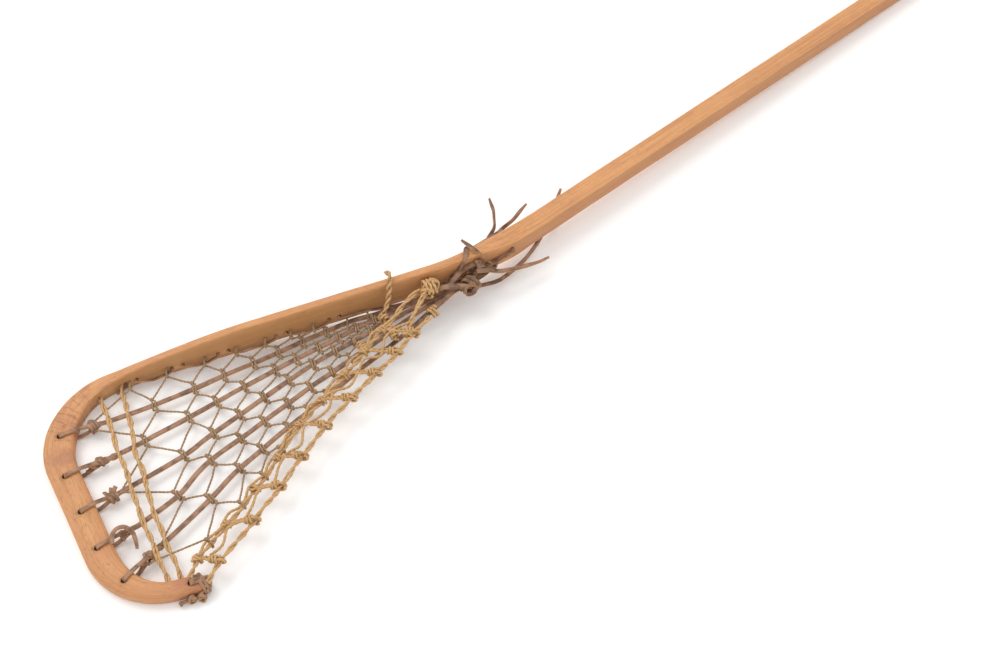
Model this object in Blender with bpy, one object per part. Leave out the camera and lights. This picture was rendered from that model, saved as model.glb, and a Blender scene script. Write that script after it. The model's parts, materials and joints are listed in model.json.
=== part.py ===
"""A traditional wooden lacrosse stick: one steam-bent ash frame, laced with leather thongs, twine and gut.

Lengths are in millimetres and MM turns them into metres where each mesh is made. +X runs from the butt
to the head, the thin side rail of the head is on the -Y side, the gut wall on the +Y side, and +Z is up
from the table that the stick lies on, with the open side of the pocket facing up.
"""
import math

import bmesh
import bpy
from mathutils import Vector

MM = 0.001
GAP = 0.3  # clearance between neighbouring pieces

# The frame's outer edge in plan, from the butt: straight legs and arcs (radius, turn in degrees).
BUTT_X = -557.4
BUTT_Y = 8.0
SHAFT_LEG = 640.0
THROAT_RADIUS = 150.0
THROAT_TURN = -20.6
RAIL_LEG = 319.8
FIRST_BEND_RADIUS = 74.7
FIRST_BEND_TURN = 98.25
SCOOP_LEG = 93.7
SECOND_BEND_RADIUS = 72.6
SECOND_BEND_TURN = 78.8
TIP_LEG = 24.0
LEGS = (
    (SHAFT_LEG, 0.0),
    (THROAT_RADIUS, THROAT_TURN),
    (RAIL_LEG, 0.0),
    (FIRST_BEND_RADIUS, FIRST_BEND_TURN),
    (SCOOP_LEG, 0.0),
    (SECOND_BEND_RADIUS, SECOND_BEND_TURN),
    (TIP_LEG, 0.0),
)

# The frame's section: the shaft is nearly square, the rail tall and thin, the scoop wide and low.
SHAFT_WIDTH = 23.0
SHAFT_HEIGHT = 23.5
SHAFT_MIDDLE = 10.8  # of the shaft's section, from the outer edge path
SHAFT_CORNER = 6.0
RAIL_CORNER = 2.4
SCOOP_CORNER = 4.0
RAIL_WIDTH = 8.0
RAIL_HEIGHT = 35.0
SCOOP_WIDTH = 27.7
SCOOP_HEIGHT = 14.0
TIP_WIDTH = 16.0
THROAT_LIFT = 15.5  # underside of the shaft above the table where the head begins
RAIL_LIFT = 9.0

# Cord sizes: a strap is (width, thickness), the others are diameters.
THONG = (5.2, 2.0)
LACE = (3.6, 1.6)
TWINE = 1.8
GUT = 3.4
GUT_THIN = 2.4
HITCH_CORD = 2.2

THONG_HOLE_R = 3.3
LACE_HOLE_R = 2.4
GUT_HOLE_R = 2.1
GROOVE_WIDTH = 6.2
GROOVE_DEPTH = 3.0
LEG_LOW = GROOVE_DEPTH - GAP - THONG[1] / 2  # the thong's returning leg, in the groove and at its end
LEG_END = 7.0
HITCH_IN = 14.0  # distance of the hitch from the scoop's inner edge

# Thongs, from the throat to just inside the scoop, then the scoop hole each one loops through.
THONG_ROUTES = (
    ((132, 12, 16), (165, 3, 15), (200, -8, 13.5), (230, -20, 12), (300, -37, 9), (380, -55, 8), (420, -64, 8),
     (462, -76, 9.5)),
    ((132, 15.5, 19), (180, 4, 17), (242, -10, 13), (310, -22, 8.5), (402, -32, 8), (447, -37, 8), (483, -42, 9.5)),
    ((104, 20.9, 23.9), (132, 17.8, 21.6), (180, 12.5, 19.5), (257, 0, 13), (308, -4, 9), (395, -3, 8), (429, -1, 8),
     (497, -6, 9.5)),
    ((108, 29, 27), (118, 27, 26.5), (132, 23, 25), (180, 21, 21.5), (273, 17, 12.5), (324, 16, 8.5), (413, 19, 8),
     (455, 30, 8), (500, 33, 9.5)),
    ((108, 36, 28), (118, 33.5, 28.5), (132, 28, 28), (180, 31.5, 23.5), (260, 33, 13.5), (339, 37, 8.5),
     (398, 43, 8), (436, 52, 8), (497, 63, 9.5)),
)
THONG_HOLES_S = (1097.9, 1150.0, 1190.8, 1231.5, 1281.4)

# Where the twine is knotted along each thong (X), and where it hangs on the rail lace and the gut wall.
RAIL_KNOTS = (392, 353, 327, 301, 277)
THONG_KNOTS = (
    (418, 379, 350, 321, 296, 272, 248),
    (446, 401, 372, 343, 310, 288, 265),
    (428, 394, 364, 336, 307, 280, 256),
    (455, 412, 378, 351, 323, 297, 272),
    (435, 397, 370, 338, 313),
)
WALL_KNOTS = (461, 417, 385, 357)

RAIL_HOLES_S = (989.5, 945.0, 900.5, 843.8, 791.2)
LACE_START_S = 765.0
STITCH = 10.0  # distance between the two holes of each outside stitch

WALL_INNER = (
    (487, 97, 16.5), (461, 91, 14), (420, 79, 12.5), (377, 64, 13), (335, 47, 15.5), (285, 36, 20), (243, 27, 26),
    (204, 18, 31), (176, 11, 34), (160, 9, 35.5),
)
WALL_OUTER = (
    (486, 121, 14), (467, 113, 18), (427, 103, 20), (374, 85, 21), (336, 72, 22), (297, 61, 24), (252, 54, 27),
    (226, 51, 28.5), (191, 45, 29), (160, 41, 29),
)

LATTICE_INNER = (470, 440, 400, 366, 330, 300, 262)
LATTICE_OUTER = (458, 420, 383, 350, 315, 280, 240)
GUT_TIE = ((160, 16.5, 32), (176, 22, 30.5), (192, 32, 27), (197, 37.5, 26))

# The leather band round the throat: distance, face (+1 inner, -1 outer), and height, or none at the top edge.
BAND_STATIONS = (
    (684, 1, 22), (679, 1, 28), (673, 1, 36), (667, 1, None), (657, -1, None), (651, -1, 40), (641, -1, 36),
    (630, -1, 33),
)
GUT_UPRIGHT = ((201, 5, 27), (191, 0, 34), (182, -8, 44), (177, -14, 49.5), (177, -20, 49.2))

# Loose ends of leather: each leaves a hole or a knot and ends free.
LOOSE_ENDS = (
    ((69, 3, 33.5), (58, -1, 36), (52, -8, 40), (47, -15, 42), (44, -22, 43), (41, -28, 43)),
    ((56, -1, 30.5), (44, -5, 28), (30, -5, 26), (19, -7, 26), (9, -9, 27)),
    ((104.5, 27.5, 35), (95, 31.8, 33), (83, 38.6, 28), (66.4, 43.1, 23), (50.1, 46.6, 19), (40.3, 48.7, 17.5),
     (30.3, 49.3, 16)),
    ((114, 21, 12.5), (106, 26.5, 11), (96, 31, 10), (85, 34.5, 9), (74, 35, 8.5), (60, 33.5, 8), (46, 31.5, 8),
     (27, 25.5, 8), (10, 18, 8), (-12, 6, 8.5), (-29, -4, 12), (-36.5, -8, 16)),
    ((86, 28.5, 34), (89, 26.5, 38), (91.5, 24.5, 42), (93.5, 22.2, 46), (95, 18, 48.9), (96.5, 12, 50), (98, 5, 50.6),
     (99, -1, 51)),
)
LOOSE_STEP = 6.0  # spacing of the points that a loose end's solid follows
HOOKED_END = ((528, 38, 18), (524, 32, 19.5), (518, 29, 19.8), (511.5, 31, 19.3), (508, 38, 16.5), (510, 46, 13),
              (513, 52, 10.5))

LEATHER_COLOUR = (0.16, 0.105, 0.075, 1)
TWINE_COLOUR = (0.27, 0.18, 0.10, 1)
GUT_COLOUR = (0.50, 0.31, 0.11, 1)


def colour(name, rgba, roughness):
    material = bpy.data.materials.new(name)
    material.use_nodes = True
    shader = material.node_tree.nodes["Principled BSDF"]
    shader.inputs["Base Color"].default_value = rgba
    shader.inputs["Roughness"].default_value = roughness
    material.diffuse_color = rgba
    return material


def leg_length(leg):
    size, turn = leg
    return size if turn == 0 else size * abs(math.radians(turn))


def edge_at(s):
    """The outer edge's plan point and heading (radians) at distance s from the butt."""
    x, y, heading = BUTT_X, BUTT_Y, 0.0
    for leg in LEGS:
        size, turn = leg
        length = leg_length(leg)
        part = min(s, length)
        if turn == 0:
            x += part * math.cos(heading)
            y += part * math.sin(heading)
        else:
            side = math.copysign(1.0, turn)
            end = heading + side * part / size
            x += side * size * (math.sin(end) - math.sin(heading))
            y -= side * size * (math.cos(end) - math.cos(heading))
            heading = end
        s -= part
        if s <= 0:
            break
    return x, y, heading


def joints_of_legs():
    total = 0.0
    marks = []
    for leg in LEGS:
        total += leg_length(leg)
        marks.append(total)
    return marks


S_THROAT, S_RAIL, S_BEND1, S_SCOOP, S_BEND2, S_TIP, S_END = joints_of_legs()


def blend(s, keys):
    """A smooth curve through (distance, value) keys."""
    if s <= keys[0][0]:
        return keys[0][1]
    for (s0, v0), (s1, v1) in zip(keys, keys[1:]):
        if s <= s1:
            t = (s - s0) / (s1 - s0)
            return v0 + (v1 - v0) * t * t * (3 - 2 * t)
    return keys[-1][1]


def ramp(s, keys):
    for (s0, v0), (s1, v1) in zip(keys, keys[1:]):
        if s <= s1:
            return v0 + (v1 - v0) * max(0.0, (s - s0) / (s1 - s0))
    return keys[-1][1]


WIDE_S = S_BEND1 + 0.75 * (S_SCOOP - S_BEND1)
LOW_S = S_BEND1 + 0.55 * (S_SCOOP - S_BEND1)


def section(s):
    """Width, height, corner radius, distance of the middle from the outer edge path, and underside height."""
    width = blend(s, (
        (S_THROAT - 40, SHAFT_WIDTH), (S_THROAT + 40, RAIL_WIDTH), (S_BEND1 - 40, RAIL_WIDTH),
        (WIDE_S, SCOOP_WIDTH), (S_BEND2, SCOOP_WIDTH), (S_TIP, TIP_WIDTH),
    ))
    height = blend(s, (
        (S_THROAT - 55, SHAFT_HEIGHT), (S_THROAT + 65, RAIL_HEIGHT), (S_BEND1 - 140, RAIL_HEIGHT),
        (LOW_S, SCOOP_HEIGHT),
    ))
    corner = blend(s, (
        (S_THROAT - 30, SHAFT_CORNER), (S_THROAT + 50, RAIL_CORNER), (S_BEND1, RAIL_CORNER), (WIDE_S, SCOOP_CORNER),
    ))
    middle = blend(s, (
        (S_THROAT - 40, SHAFT_MIDDLE), (S_THROAT + 40, RAIL_WIDTH / 2), (S_BEND1 - 40, RAIL_WIDTH / 2),
        (WIDE_S, SCOOP_WIDTH / 2), (S_BEND2, SCOOP_WIDTH / 2), (S_TIP, TIP_WIDTH / 2),
    ))
    under = ramp(s, ((0, 0), (S_THROAT - 55, THROAT_LIFT), (S_THROAT + 65, RAIL_LIFT), (S_BEND1, 0)))
    return width, height, corner, middle, under


def at(s, across, z):
    """The point at distance s, across from the section's middle (+ is the inner side) and z above the table."""
    x, y, heading = edge_at(s)
    out = section(s)[3] + across
    return Vector((x - out * math.sin(heading), y + out * math.cos(heading), z))


def inner_face(s, off, z):
    return at(s, section(s)[0] / 2 + off, z)


def new_object(name, mesh, material, smooth):
    mesh.materials.append(material)
    for face in mesh.polygons:
        face.use_smooth = smooth
    obj = bpy.data.objects.new(name, mesh)
    bpy.context.scene.collection.objects.link(obj)
    return obj


def mesh_from_rings(name, rings):
    """A closed skin over rings of equal point counts, in millimetres."""
    bm = bmesh.new()
    rows = [[bm.verts.new(p * MM) for p in ring] for ring in rings]
    count = len(rows[0])
    for low, high in zip(rows, rows[1:]):
        for k in range(count):
            m = (k + 1) % count
            bm.faces.new((low[k], low[m], high[m], high[k]))
    bm.faces.new(rows[0][::-1])
    bm.faces.new(rows[-1])
    bmesh.ops.recalc_face_normals(bm, faces=bm.faces[:])
    mesh = bpy.data.meshes.new(name)
    bm.to_mesh(mesh)
    bm.free()
    return mesh


def sweep(name, points, size, sides, up, material):
    """A cord with mitred corners along points: round with a diameter, or a strap with (width, thickness)."""
    pts = [Vector(p) for p in points]
    if isinstance(size, tuple):
        outline = [(size[0] / 2 * a, size[1] / 2 * b) for a, b in ((1, 1), (-1, 1), (-1, -1), (1, -1))]
    else:
        turn = 2 * math.pi / sides
        outline = [(size / 2 * math.cos(k * turn), size / 2 * math.sin(k * turn)) for k in range(sides)]
    legs = [(b - a).normalized() for a, b in zip(pts, pts[1:])]
    side = Vector(up).cross(legs[0]).normalized()
    top = legs[0].cross(side)
    rings = []
    for i, point in enumerate(pts):
        leg = legs[max(i - 1, 0)]
        offsets = [side * a + top * b for a, b in outline]
        if 0 < i < len(pts) - 1:
            plane = (leg + legs[i]).normalized()
            offsets = [o - leg * (o.dot(plane) / leg.dot(plane)) for o in offsets]
            side = leg.rotation_difference(legs[i]) @ side
            level = Vector(up).cross(legs[i])
            if up[2] == 1 and level.length > 0.7:
                side = level.normalized() * math.copysign(1.0, level.dot(side))
            top = legs[i].cross(side)
        rings.append([point + o for o in offsets])
    mesh = mesh_from_rings(name, rings)
    return new_object(name, mesh, material, not isinstance(size, tuple))


def smooth_route(points, step):
    """Points about step apart on a smooth curve through a route's own points."""
    pts = [Vector(p) for p in points]
    pts = [pts[0] * 2 - pts[1]] + pts + [pts[-1] * 2 - pts[-2]]
    out = []
    for p0, p1, p2, p3 in zip(pts, pts[1:], pts[2:], pts[3:]):
        count = max(1, round((p2 - p1).length / step))
        for k in range(count):
            t = k / count
            out.append((p1 * 2 + (p2 - p0) * t + (p0 * 2 - p1 * 5 + p2 * 4 - p3) * t ** 2
                        + (p1 * 3 - p0 - p2 * 3 + p3) * t ** 3) / 2)
    return out + [pts[-2]]


def along(route, x):
    """The point and plan direction of a route where it passes x."""
    pts = sorted((Vector(p) for p in route), key=lambda p: p.x)
    for a, b in zip(pts, pts[1:]):
        if a.x <= x <= b.x:
            return a.lerp(b, (x - a.x) / (b.x - a.x)), (b - a).normalized()
    return pts[-1], (pts[-1] - pts[-2]).normalized()


def turn_round(centre, direction, near, half_width, half_height, radius, shift):
    """Four points that take a cord once round a strand: over it, down its far side and back underneath."""
    side = Vector((-direction.y, direction.x, 0)).normalized() * near
    far = half_width + GAP + radius
    rise = half_height + GAP + radius
    middle = centre + direction * shift
    up = Vector((0, 0, rise))
    near_out = far + 2 * radius + 2 * GAP
    return [middle + side * near_out + up, middle - side * far + up, middle - side * far - up,
            middle + side * near_out - up]


def coil(centre, axis, across, half_across, half_up, turns, pitch, steps):
    """Points of an upright oval coil about an axis."""
    axis = Vector(axis).normalized()
    across = Vector(across).normalized()
    up = axis.cross(across)
    pts = []
    count = int(turns * steps)
    for k in range(count + 1):
        angle = 2 * math.pi * k / steps
        slide = pitch * (k / steps - turns / 2)
        pts.append(Vector(centre) + axis * slide + across * (half_across * math.cos(angle))
                   + up * (half_up * math.sin(angle)))
    return pts


def clear_scene():
    for obj in list(bpy.data.objects):
        bpy.data.objects.remove(obj, do_unlink=True)


# ---------------------------------------------------------------- wood frame

def ring_at(s, inset):
    width, height, corner, _, under = section(s)
    half_w = width / 2 - inset
    half_h = height / 2 - inset
    corner = max(corner - inset, 0.8)
    ring = []
    for quarter in range(4):
        sx = (1, -1, -1, 1)[quarter]
        sz = (1, 1, -1, -1)[quarter]
        for step in range(4):
            angle = math.radians(90 * quarter + 30 * step)
            across = sx * (half_w - corner) + corner * math.cos(angle)
            z = under + height / 2 + sz * (half_h - corner) + corner * math.sin(angle)
            ring.append(at(s, across, z))
    return ring


def frame_stations():
    stops = [(0, 2.0), (2.0, 0), (200, 0), (400, 0), (540, 0)]
    stops += [(s, 0) for s in range(585, 721, 12)]
    stops += [(s, 0) for s in range(755, 976, 40)]
    for start, end, count in ((985, S_SCOOP, 18), (S_SCOOP + 30, S_BEND2 - 10, 3), (S_BEND2, S_TIP, 12)):
        stops += [(start + (end - start) * k / (count - 1), 0) for k in range(count)]
    stops += [(S_END - 5, 0), (S_END - 1.5, 1.2), (S_END, 3.2)]
    return stops


def join_cutters(name, shapes):
    """Closed cutter bodies in one mesh, kept out of the render."""
    bm = bmesh.new()
    for rings in shapes:
        rows = [[bm.verts.new(p * MM) for p in ring] for ring in rings]
        count = len(rows[0])
        for k in range(count):
            m = (k + 1) % count
            bm.faces.new((rows[0][k], rows[0][m], rows[1][m], rows[1][k]))
        bm.faces.new(rows[0][::-1])
        bm.faces.new(rows[1])
    bmesh.ops.recalc_face_normals(bm, faces=bm.faces[:])
    mesh = bpy.data.meshes.new(name)
    bm.to_mesh(mesh)
    bm.free()
    obj = bpy.data.objects.new(name, mesh)
    bpy.context.scene.collection.objects.link(obj)
    obj.hide_render = True
    obj.display_type = "WIRE"
    return obj


def rod(start, end, radius):
    axis = (end - start).normalized()
    side = axis.orthogonal().normalized()
    other = axis.cross(side)
    turns = [2 * math.pi * k / 12 for k in range(12)]
    spokes = [side * (radius * math.cos(t)) + other * (radius * math.sin(t)) for t in turns]
    return [[start + o for o in spokes], [end + o for o in spokes]]


def scoop_line(k):
    """Plan point of scoop hole k, the unit direction from it into the head, and the wood between them."""
    hole = at(THONG_HOLES_S[k], 0, 0)
    last = Vector(THONG_ROUTES[k][-1])
    line = Vector((last.x - hole.x, last.y - hole.y, 0)).normalized()
    heading = edge_at(THONG_HOLES_S[k])[2]
    inward = Vector((-math.sin(heading), math.cos(heading), 0))
    wood = section(THONG_HOLES_S[k])[0] / 2 / line.dot(inward)
    return hole, line, wood


def frame_holes():
    shapes = []
    for k in range(5):
        hole = scoop_line(k)[0]
        shapes.append(rod(hole + Vector((0, 0, -2)), hole + Vector((0, 0, 20)), THONG_HOLE_R))
    tip = at(S_END - 11, 0, 0)
    shapes.append(rod(tip + Vector((0, 0, -2)), tip + Vector((0, 0, 20)), THONG_HOLE_R))
    for s in RAIL_HOLES_S:
        for shift in (0, STITCH):
            z = lace_height(s + shift)
            shapes.append(rod(at(s + shift, -12, z), at(s + shift, 12, z), LACE_HOLE_R))
    for s, z in string_ends():
        shapes.append(rod(inner_face(s, -8, z), inner_face(s, 5, z), GUT_HOLE_R))
    for s, z in THROAT_HOLES:
        shapes.append(rod(at(s, -20, z), at(s, 20, z), THONG_HOLE_R))
    return shapes


def grooves():
    shapes = []
    for k in range(5):
        hole, line, wood = scoop_line(k)
        side = Vector((-line.y, line.x, 0)) * (GROOVE_WIDTH / 2)
        ends = []
        for reach in (0, wood + 8):
            base = hole + line * reach
            ends.append([base + side + Vector((0, 0, GROOVE_DEPTH)), base - side + Vector((0, 0, GROOVE_DEPTH)),
                         base - side - Vector((0, 0, 1)), base + side - Vector((0, 0, 1))])
        shapes.append(ends)
    return shapes


def lace_height(s):
    return section(s)[4] + 9.0


def string_ends():
    """Distance and height of the four blind holes that hold the two shooting strings."""
    return ((1029.8, 8.0), (1005.0, 8.5), (1328.0, 7.0), (1341.0, 7.0))


THROAT_HOLES = ((664.0, 18.0), (640.0, 23.5), (616.0, 30.0))


def wood_frame(material):
    rings = [ring_at(s, inset) for s, inset in frame_stations()]
    mesh = mesh_from_rings("wood_frame", rings)
    obj = new_object("wood_frame", mesh, material, False)
    for name, shapes in (("hole_cutters", frame_holes()), ("groove_cutters", grooves())):
        cut = obj.modifiers.new(name, "BOOLEAN")
        cut.operation = "DIFFERENCE"
        cut.solver = "EXACT"
        cut.object = join_cutters(name, shapes)
    return obj


# ---------------------------------------------------------------- lacing

def thong_points(k):
    """The whole run of a thong: throat, net, over the scoop, down its hole and back underneath."""
    hole, line, wood = scoop_line(k)
    top = SCOOP_HEIGHT + GAP + THONG[1] / 2
    low = LEG_LOW
    run = [Vector(p) for p in THONG_ROUTES[k]]
    if k < 3:
        s, z = THROAT_HOLES[k]
        turn_in = inner_face(s, THONG[0] / 2 + 2 * GAP, z)
        run = [at(s, -section(s)[0] / 2 - 3, z), turn_in] + run
    run.append(hole + line * (wood + 1.5) + Vector((0, 0, top)))
    run.append(hole + Vector((0, 0, top)))
    run.append(hole + Vector((0, 0, low)))
    run.append(hole + line * (wood + 3) + Vector((0, 0, low)))
    run.append(hole + line * (wood + 18) + Vector((0, 0, LEG_END)))
    return run


def hitch_points(k):
    hole, line, wood = scoop_line(k)
    last = Vector(THONG_ROUTES[k][-1])
    reach = (Vector((last.x, last.y, 0)) - hole).length
    top = SCOOP_HEIGHT + GAP + THONG[1] / 2
    upper = top + (last.z - top) * (HITCH_IN - 1.5) / (reach - wood - 1.5)
    lower = LEG_LOW + (LEG_END - LEG_LOW) * (HITCH_IN - 3) / 15
    centre = hole + line * (wood + HITCH_IN) + Vector((0, 0, (upper + lower) / 2))
    return coil(centre, line, (-line.y, line.x, 0), 5.8, (upper - lower) / 2 + 4.2, 2, 3.0, 10)


def row_points(upper, lower):
    """A twine that zigzags between two strands: each is (route, half width, half height, knots, near side, shift)."""
    turns = []
    for route, half_w, half_h, knots, near, shift in (upper, lower):
        for x in knots:
            centre, direction = along(route, x)
            turns.append((x, near, turn_round(centre, direction, near, half_w, half_h, TWINE / 2, shift)))
    return zigzag(turns)


def zigzag(turns):
    """The turns in order along the head, leaving out any on the same strand as the one before."""
    points = []
    last = 0
    for _, near, pts in sorted(turns, key=lambda item: -item[0]):
        if near != last:
            points += pts
        last = near
    return points


def rail_lace_route():
    """The lace's inside runs, standing clear of the rail so that twine can pass behind it."""
    pts = [inner_face(LACE_START_S, 3.2, lace_height(LACE_START_S))]
    for s in RAIL_HOLES_S[::-1]:
        z = lace_height(s)
        pts += [inner_face(s - 4, 3.2, z), inner_face(s - 1, 3.2, z)]
        pts += [inner_face(s + STITCH + 1, 3.2, z), inner_face(s + STITCH + 4, 3.2, z)]
    return pts


def rail_lace_points():
    pts = [inner_face(LACE_START_S, 3.2, lace_height(LACE_START_S))]
    for s in RAIL_HOLES_S[::-1]:
        for shift, order in ((0, 1), (STITCH, -1)):
            z = lace_height(s + shift)
            pair = [inner_face(s + shift, 3.2, z), at(s + shift, -section(s)[0] / 2 - 1.3, z)]
            pts += pair[::order]
    pts.append(inner_face(RAIL_HOLES_S[0] + STITCH + 2, 3.2, lace_height(1000)))
    return pts


def lattice_points():
    """A thin gut that zigzags between the two strands of the wall and turns once round each."""
    turns = []
    for route, knots, near, shift in ((WALL_INNER, LATTICE_INNER, 1, -1.5), (WALL_OUTER, LATTICE_OUTER, -1, 1.5)):
        for x in knots:
            centre, direction = along(route, x)
            turns.append((x, near, turn_round(centre, direction, near, GUT / 2, GUT / 2, GUT_THIN / 2, shift)))
    return zigzag(turns)


def band_points():
    """A strap that climbs the rail's inner face, crosses its top edge and runs down the outer face."""
    off = 7 * GAP + THONG[1] / 2
    pts = []
    for s, face, z in BAND_STATIONS:
        width, height, _, _, under = section(s)
        top = under + height + off
        pts.append(at(s, face * (width / 2 + off), top if z is None else z))
    return pts


def tip_lashing_points():
    """A cord down through the tip's hole, round the tip's end and up again, with its wraps spread outwards."""
    hole = at(S_END - 11, 0, 0)
    end = at(S_END, 0, 0)
    line = (end - hole).normalized()
    reach = 11 + GAP + HITCH_CORD / 2
    top = SCOOP_HEIGHT + GAP + HITCH_CORD / 2
    low = 1.6
    start = hole + line * -0.2
    pts = [start + Vector((0, 0, low)), start + Vector((0, 0, top))]
    pts += [hole + line * reach + Vector((0, 0, top)), hole + line * reach + Vector((0, 0, low))]
    return pts


def build():
    clear_scene()
    wood = colour("ash_wood", (0.62, 0.34, 0.17, 1), 0.45)
    leather = colour("leather", LEATHER_COLOUR, 0.7)
    twine = colour("twine", TWINE_COLOUR, 0.8)
    gut = colour("gut", GUT_COLOUR, 0.5)
    up = (0, 0, 1)
    wood_frame(wood)
    for k in range(5):
        sweep(f"thong_{k + 1}", thong_points(k), THONG, 4, up, leather)
        sweep(f"scoop_hitch_{k + 1}", hitch_points(k), HITCH_CORD, 6, up, leather)
    sweep("rail_lace", rail_lace_points(), LACE, 4, (0.35, 0.94, 0), leather)
    lace = rail_lace_route()
    strands = [(lace, LACE[1] / 2, LACE[0] / 2, RAIL_KNOTS)]
    strands += [(r, THONG[0] / 2, THONG[1] / 2, x) for r, x in zip(THONG_ROUTES, THONG_KNOTS)]
    strands.append((WALL_INNER, GUT / 2, GUT / 2, WALL_KNOTS))
    for k in range(6):
        upper = strands[k] + (1, -1.15)
        lower = strands[k + 1] + (-1, 1.15)
        sweep(f"twine_row_{k + 1}", row_points(upper, lower), TWINE, 6, up, twine)
    ends = [inner_face(s, -6, z) for s, z in string_ends()]
    mouths = [inner_face(s, 5, z) for s, z in string_ends()]
    string_a = [(458, -80, 14.3), (463, -66, 14.5), (472, -38, 14.5), (486, 7, 14.5), (500, 55, 14.5), (503, 66, 15)]
    string_b = [(443, -68, 14), (456, -38, 13.5), (476, 15, 13.5), (490, 62, 14.5)]
    sweep("shooting_string_1", [ends[0], mouths[0]] + string_a + [mouths[2], ends[2]], GUT, 6, up, gut)
    sweep("shooting_string_2", [ends[1], mouths[1]] + string_b + [mouths[3], ends[3]], GUT, 6, up, gut)
    sweep("gut_wall_inner", WALL_INNER, GUT, 6, up, gut)
    sweep("gut_wall_outer", WALL_OUTER, GUT, 6, up, gut)
    sweep("gut_wall_lattice", lattice_points(), GUT_THIN, 6, up, gut)
    sweep("gut_tie", GUT_TIE, GUT, 6, up, gut)
    knot = coil((151, 12, 34.5), (-1, 0.2, 0), (0.2, 1, 0), 4.6, 4.0, 2.5, 3.8, 10)
    sweep("gut_knot", knot, GUT, 6, up, gut)
    sweep("gut_upright", smooth_route(GUT_UPRIGHT, 4.0), GUT, 6, up, gut)
    sweep("tip_lashing", tip_lashing_points(), HITCH_CORD, 6, (1, 0, 0), leather)
    sweep("throat_band", band_points(), THONG, 4, (0.35, 0.94, 0), leather)
    lashing = coil((115.5, 31.5, 28.0), (1, 0, 0), (0, 1, 0), 9.6, 5.5, 2.5, 3.4, 12)
    sweep("throat_lashing", lashing, HITCH_CORD, 6, up, leather)
    for k, route in enumerate(LOOSE_ENDS):
        sweep(f"loose_end_{k + 1}", smooth_route(route, LOOSE_STEP), THONG, 4, up, leather)
    sweep("thong_4_hooked_end", smooth_route(HOOKED_END, 3.0), LACE, 4, up, leather)


build()
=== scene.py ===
"""A traditional wooden lacrosse stick: a steam-bent ash frame laced with leather, twine and gut.

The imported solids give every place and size. Routes are in millimetres, and MM turns them into metres where
a mesh is made. +X runs from the butt to the head, +Y towards the gut wall, and +Z is up from the table.
"""
import json
import math

import bmesh
import bpy
import numpy as np
from bpy.props import FloatProperty, FloatVectorProperty, IntProperty, PointerProperty
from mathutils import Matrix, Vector, noise

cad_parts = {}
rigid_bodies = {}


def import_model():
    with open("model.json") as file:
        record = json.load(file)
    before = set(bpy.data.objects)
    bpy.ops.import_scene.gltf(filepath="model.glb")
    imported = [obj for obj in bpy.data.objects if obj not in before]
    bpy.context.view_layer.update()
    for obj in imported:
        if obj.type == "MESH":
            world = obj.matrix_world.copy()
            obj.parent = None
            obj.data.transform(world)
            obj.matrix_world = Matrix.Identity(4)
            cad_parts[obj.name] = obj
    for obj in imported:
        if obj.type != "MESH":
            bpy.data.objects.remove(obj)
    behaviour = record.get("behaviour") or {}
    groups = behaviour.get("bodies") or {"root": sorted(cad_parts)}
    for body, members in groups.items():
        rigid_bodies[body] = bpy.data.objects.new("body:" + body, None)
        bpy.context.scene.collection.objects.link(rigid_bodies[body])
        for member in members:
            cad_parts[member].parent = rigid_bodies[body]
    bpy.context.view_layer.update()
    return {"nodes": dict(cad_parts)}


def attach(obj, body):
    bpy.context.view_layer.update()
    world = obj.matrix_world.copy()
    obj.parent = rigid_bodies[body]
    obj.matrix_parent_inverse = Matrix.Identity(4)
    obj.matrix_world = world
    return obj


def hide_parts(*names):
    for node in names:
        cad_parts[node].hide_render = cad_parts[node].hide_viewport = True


bl_info = {
    "name": "Laced Lacrosse Stick",
    "version": (1, 0, 0),
    "blender": (4, 5, 0),
    "location": "View3D > Sidebar > Lacrosse Stick",
    "description": "Builds a laced wooden lacrosse stick around its packed solids",
    "category": "Add Mesh",
}

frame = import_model()
MM = 0.001
BODY = "root"
GAP = 0.3  # between touching pieces

# ---------------------------------------------------------------- the frame's path and section

BUTT_X = -557.4
BUTT_Y = 8.0
LEGS = ((640.0, 0.0), (150.0, -20.6), (319.8, 0.0), (74.7, 98.25), (93.7, 0.0), (72.6, 78.8), (24.0, 0.0))
SHAFT_WIDTH, SHAFT_HEIGHT, SHAFT_MIDDLE, SHAFT_CORNER = 20.0, 20.2, 9.3, 2.6
RAIL_WIDTH, RAIL_HEIGHT, RAIL_CORNER = 8.0, 35.0, 1.7
SCOOP_WIDTH, SCOOP_HEIGHT, SCOOP_CORNER = 27.7, 14.0, 3.4
TIP_WIDTH = 16.0
THROAT_LIFT, RAIL_LIFT = 15.5, 9.0

THONG = (5.2, 2.0)
LACE = (3.6, 1.6)
TWINE = 2.1
GUT = 3.4
GUT_THIN = 2.9
GUT_PLY = 2.8
THONG_HOLE_R, LACE_HOLE_R, GUT_HOLE_R = 2.7, 2.2, 2.1
GROOVE_WIDTH, GROOVE_DEPTH = 6.2, 3.0
LEG_LOW = GROOVE_DEPTH - GAP - THONG[1] / 2
LEG_END = 7.0
HITCH_IN = 14.0

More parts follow.
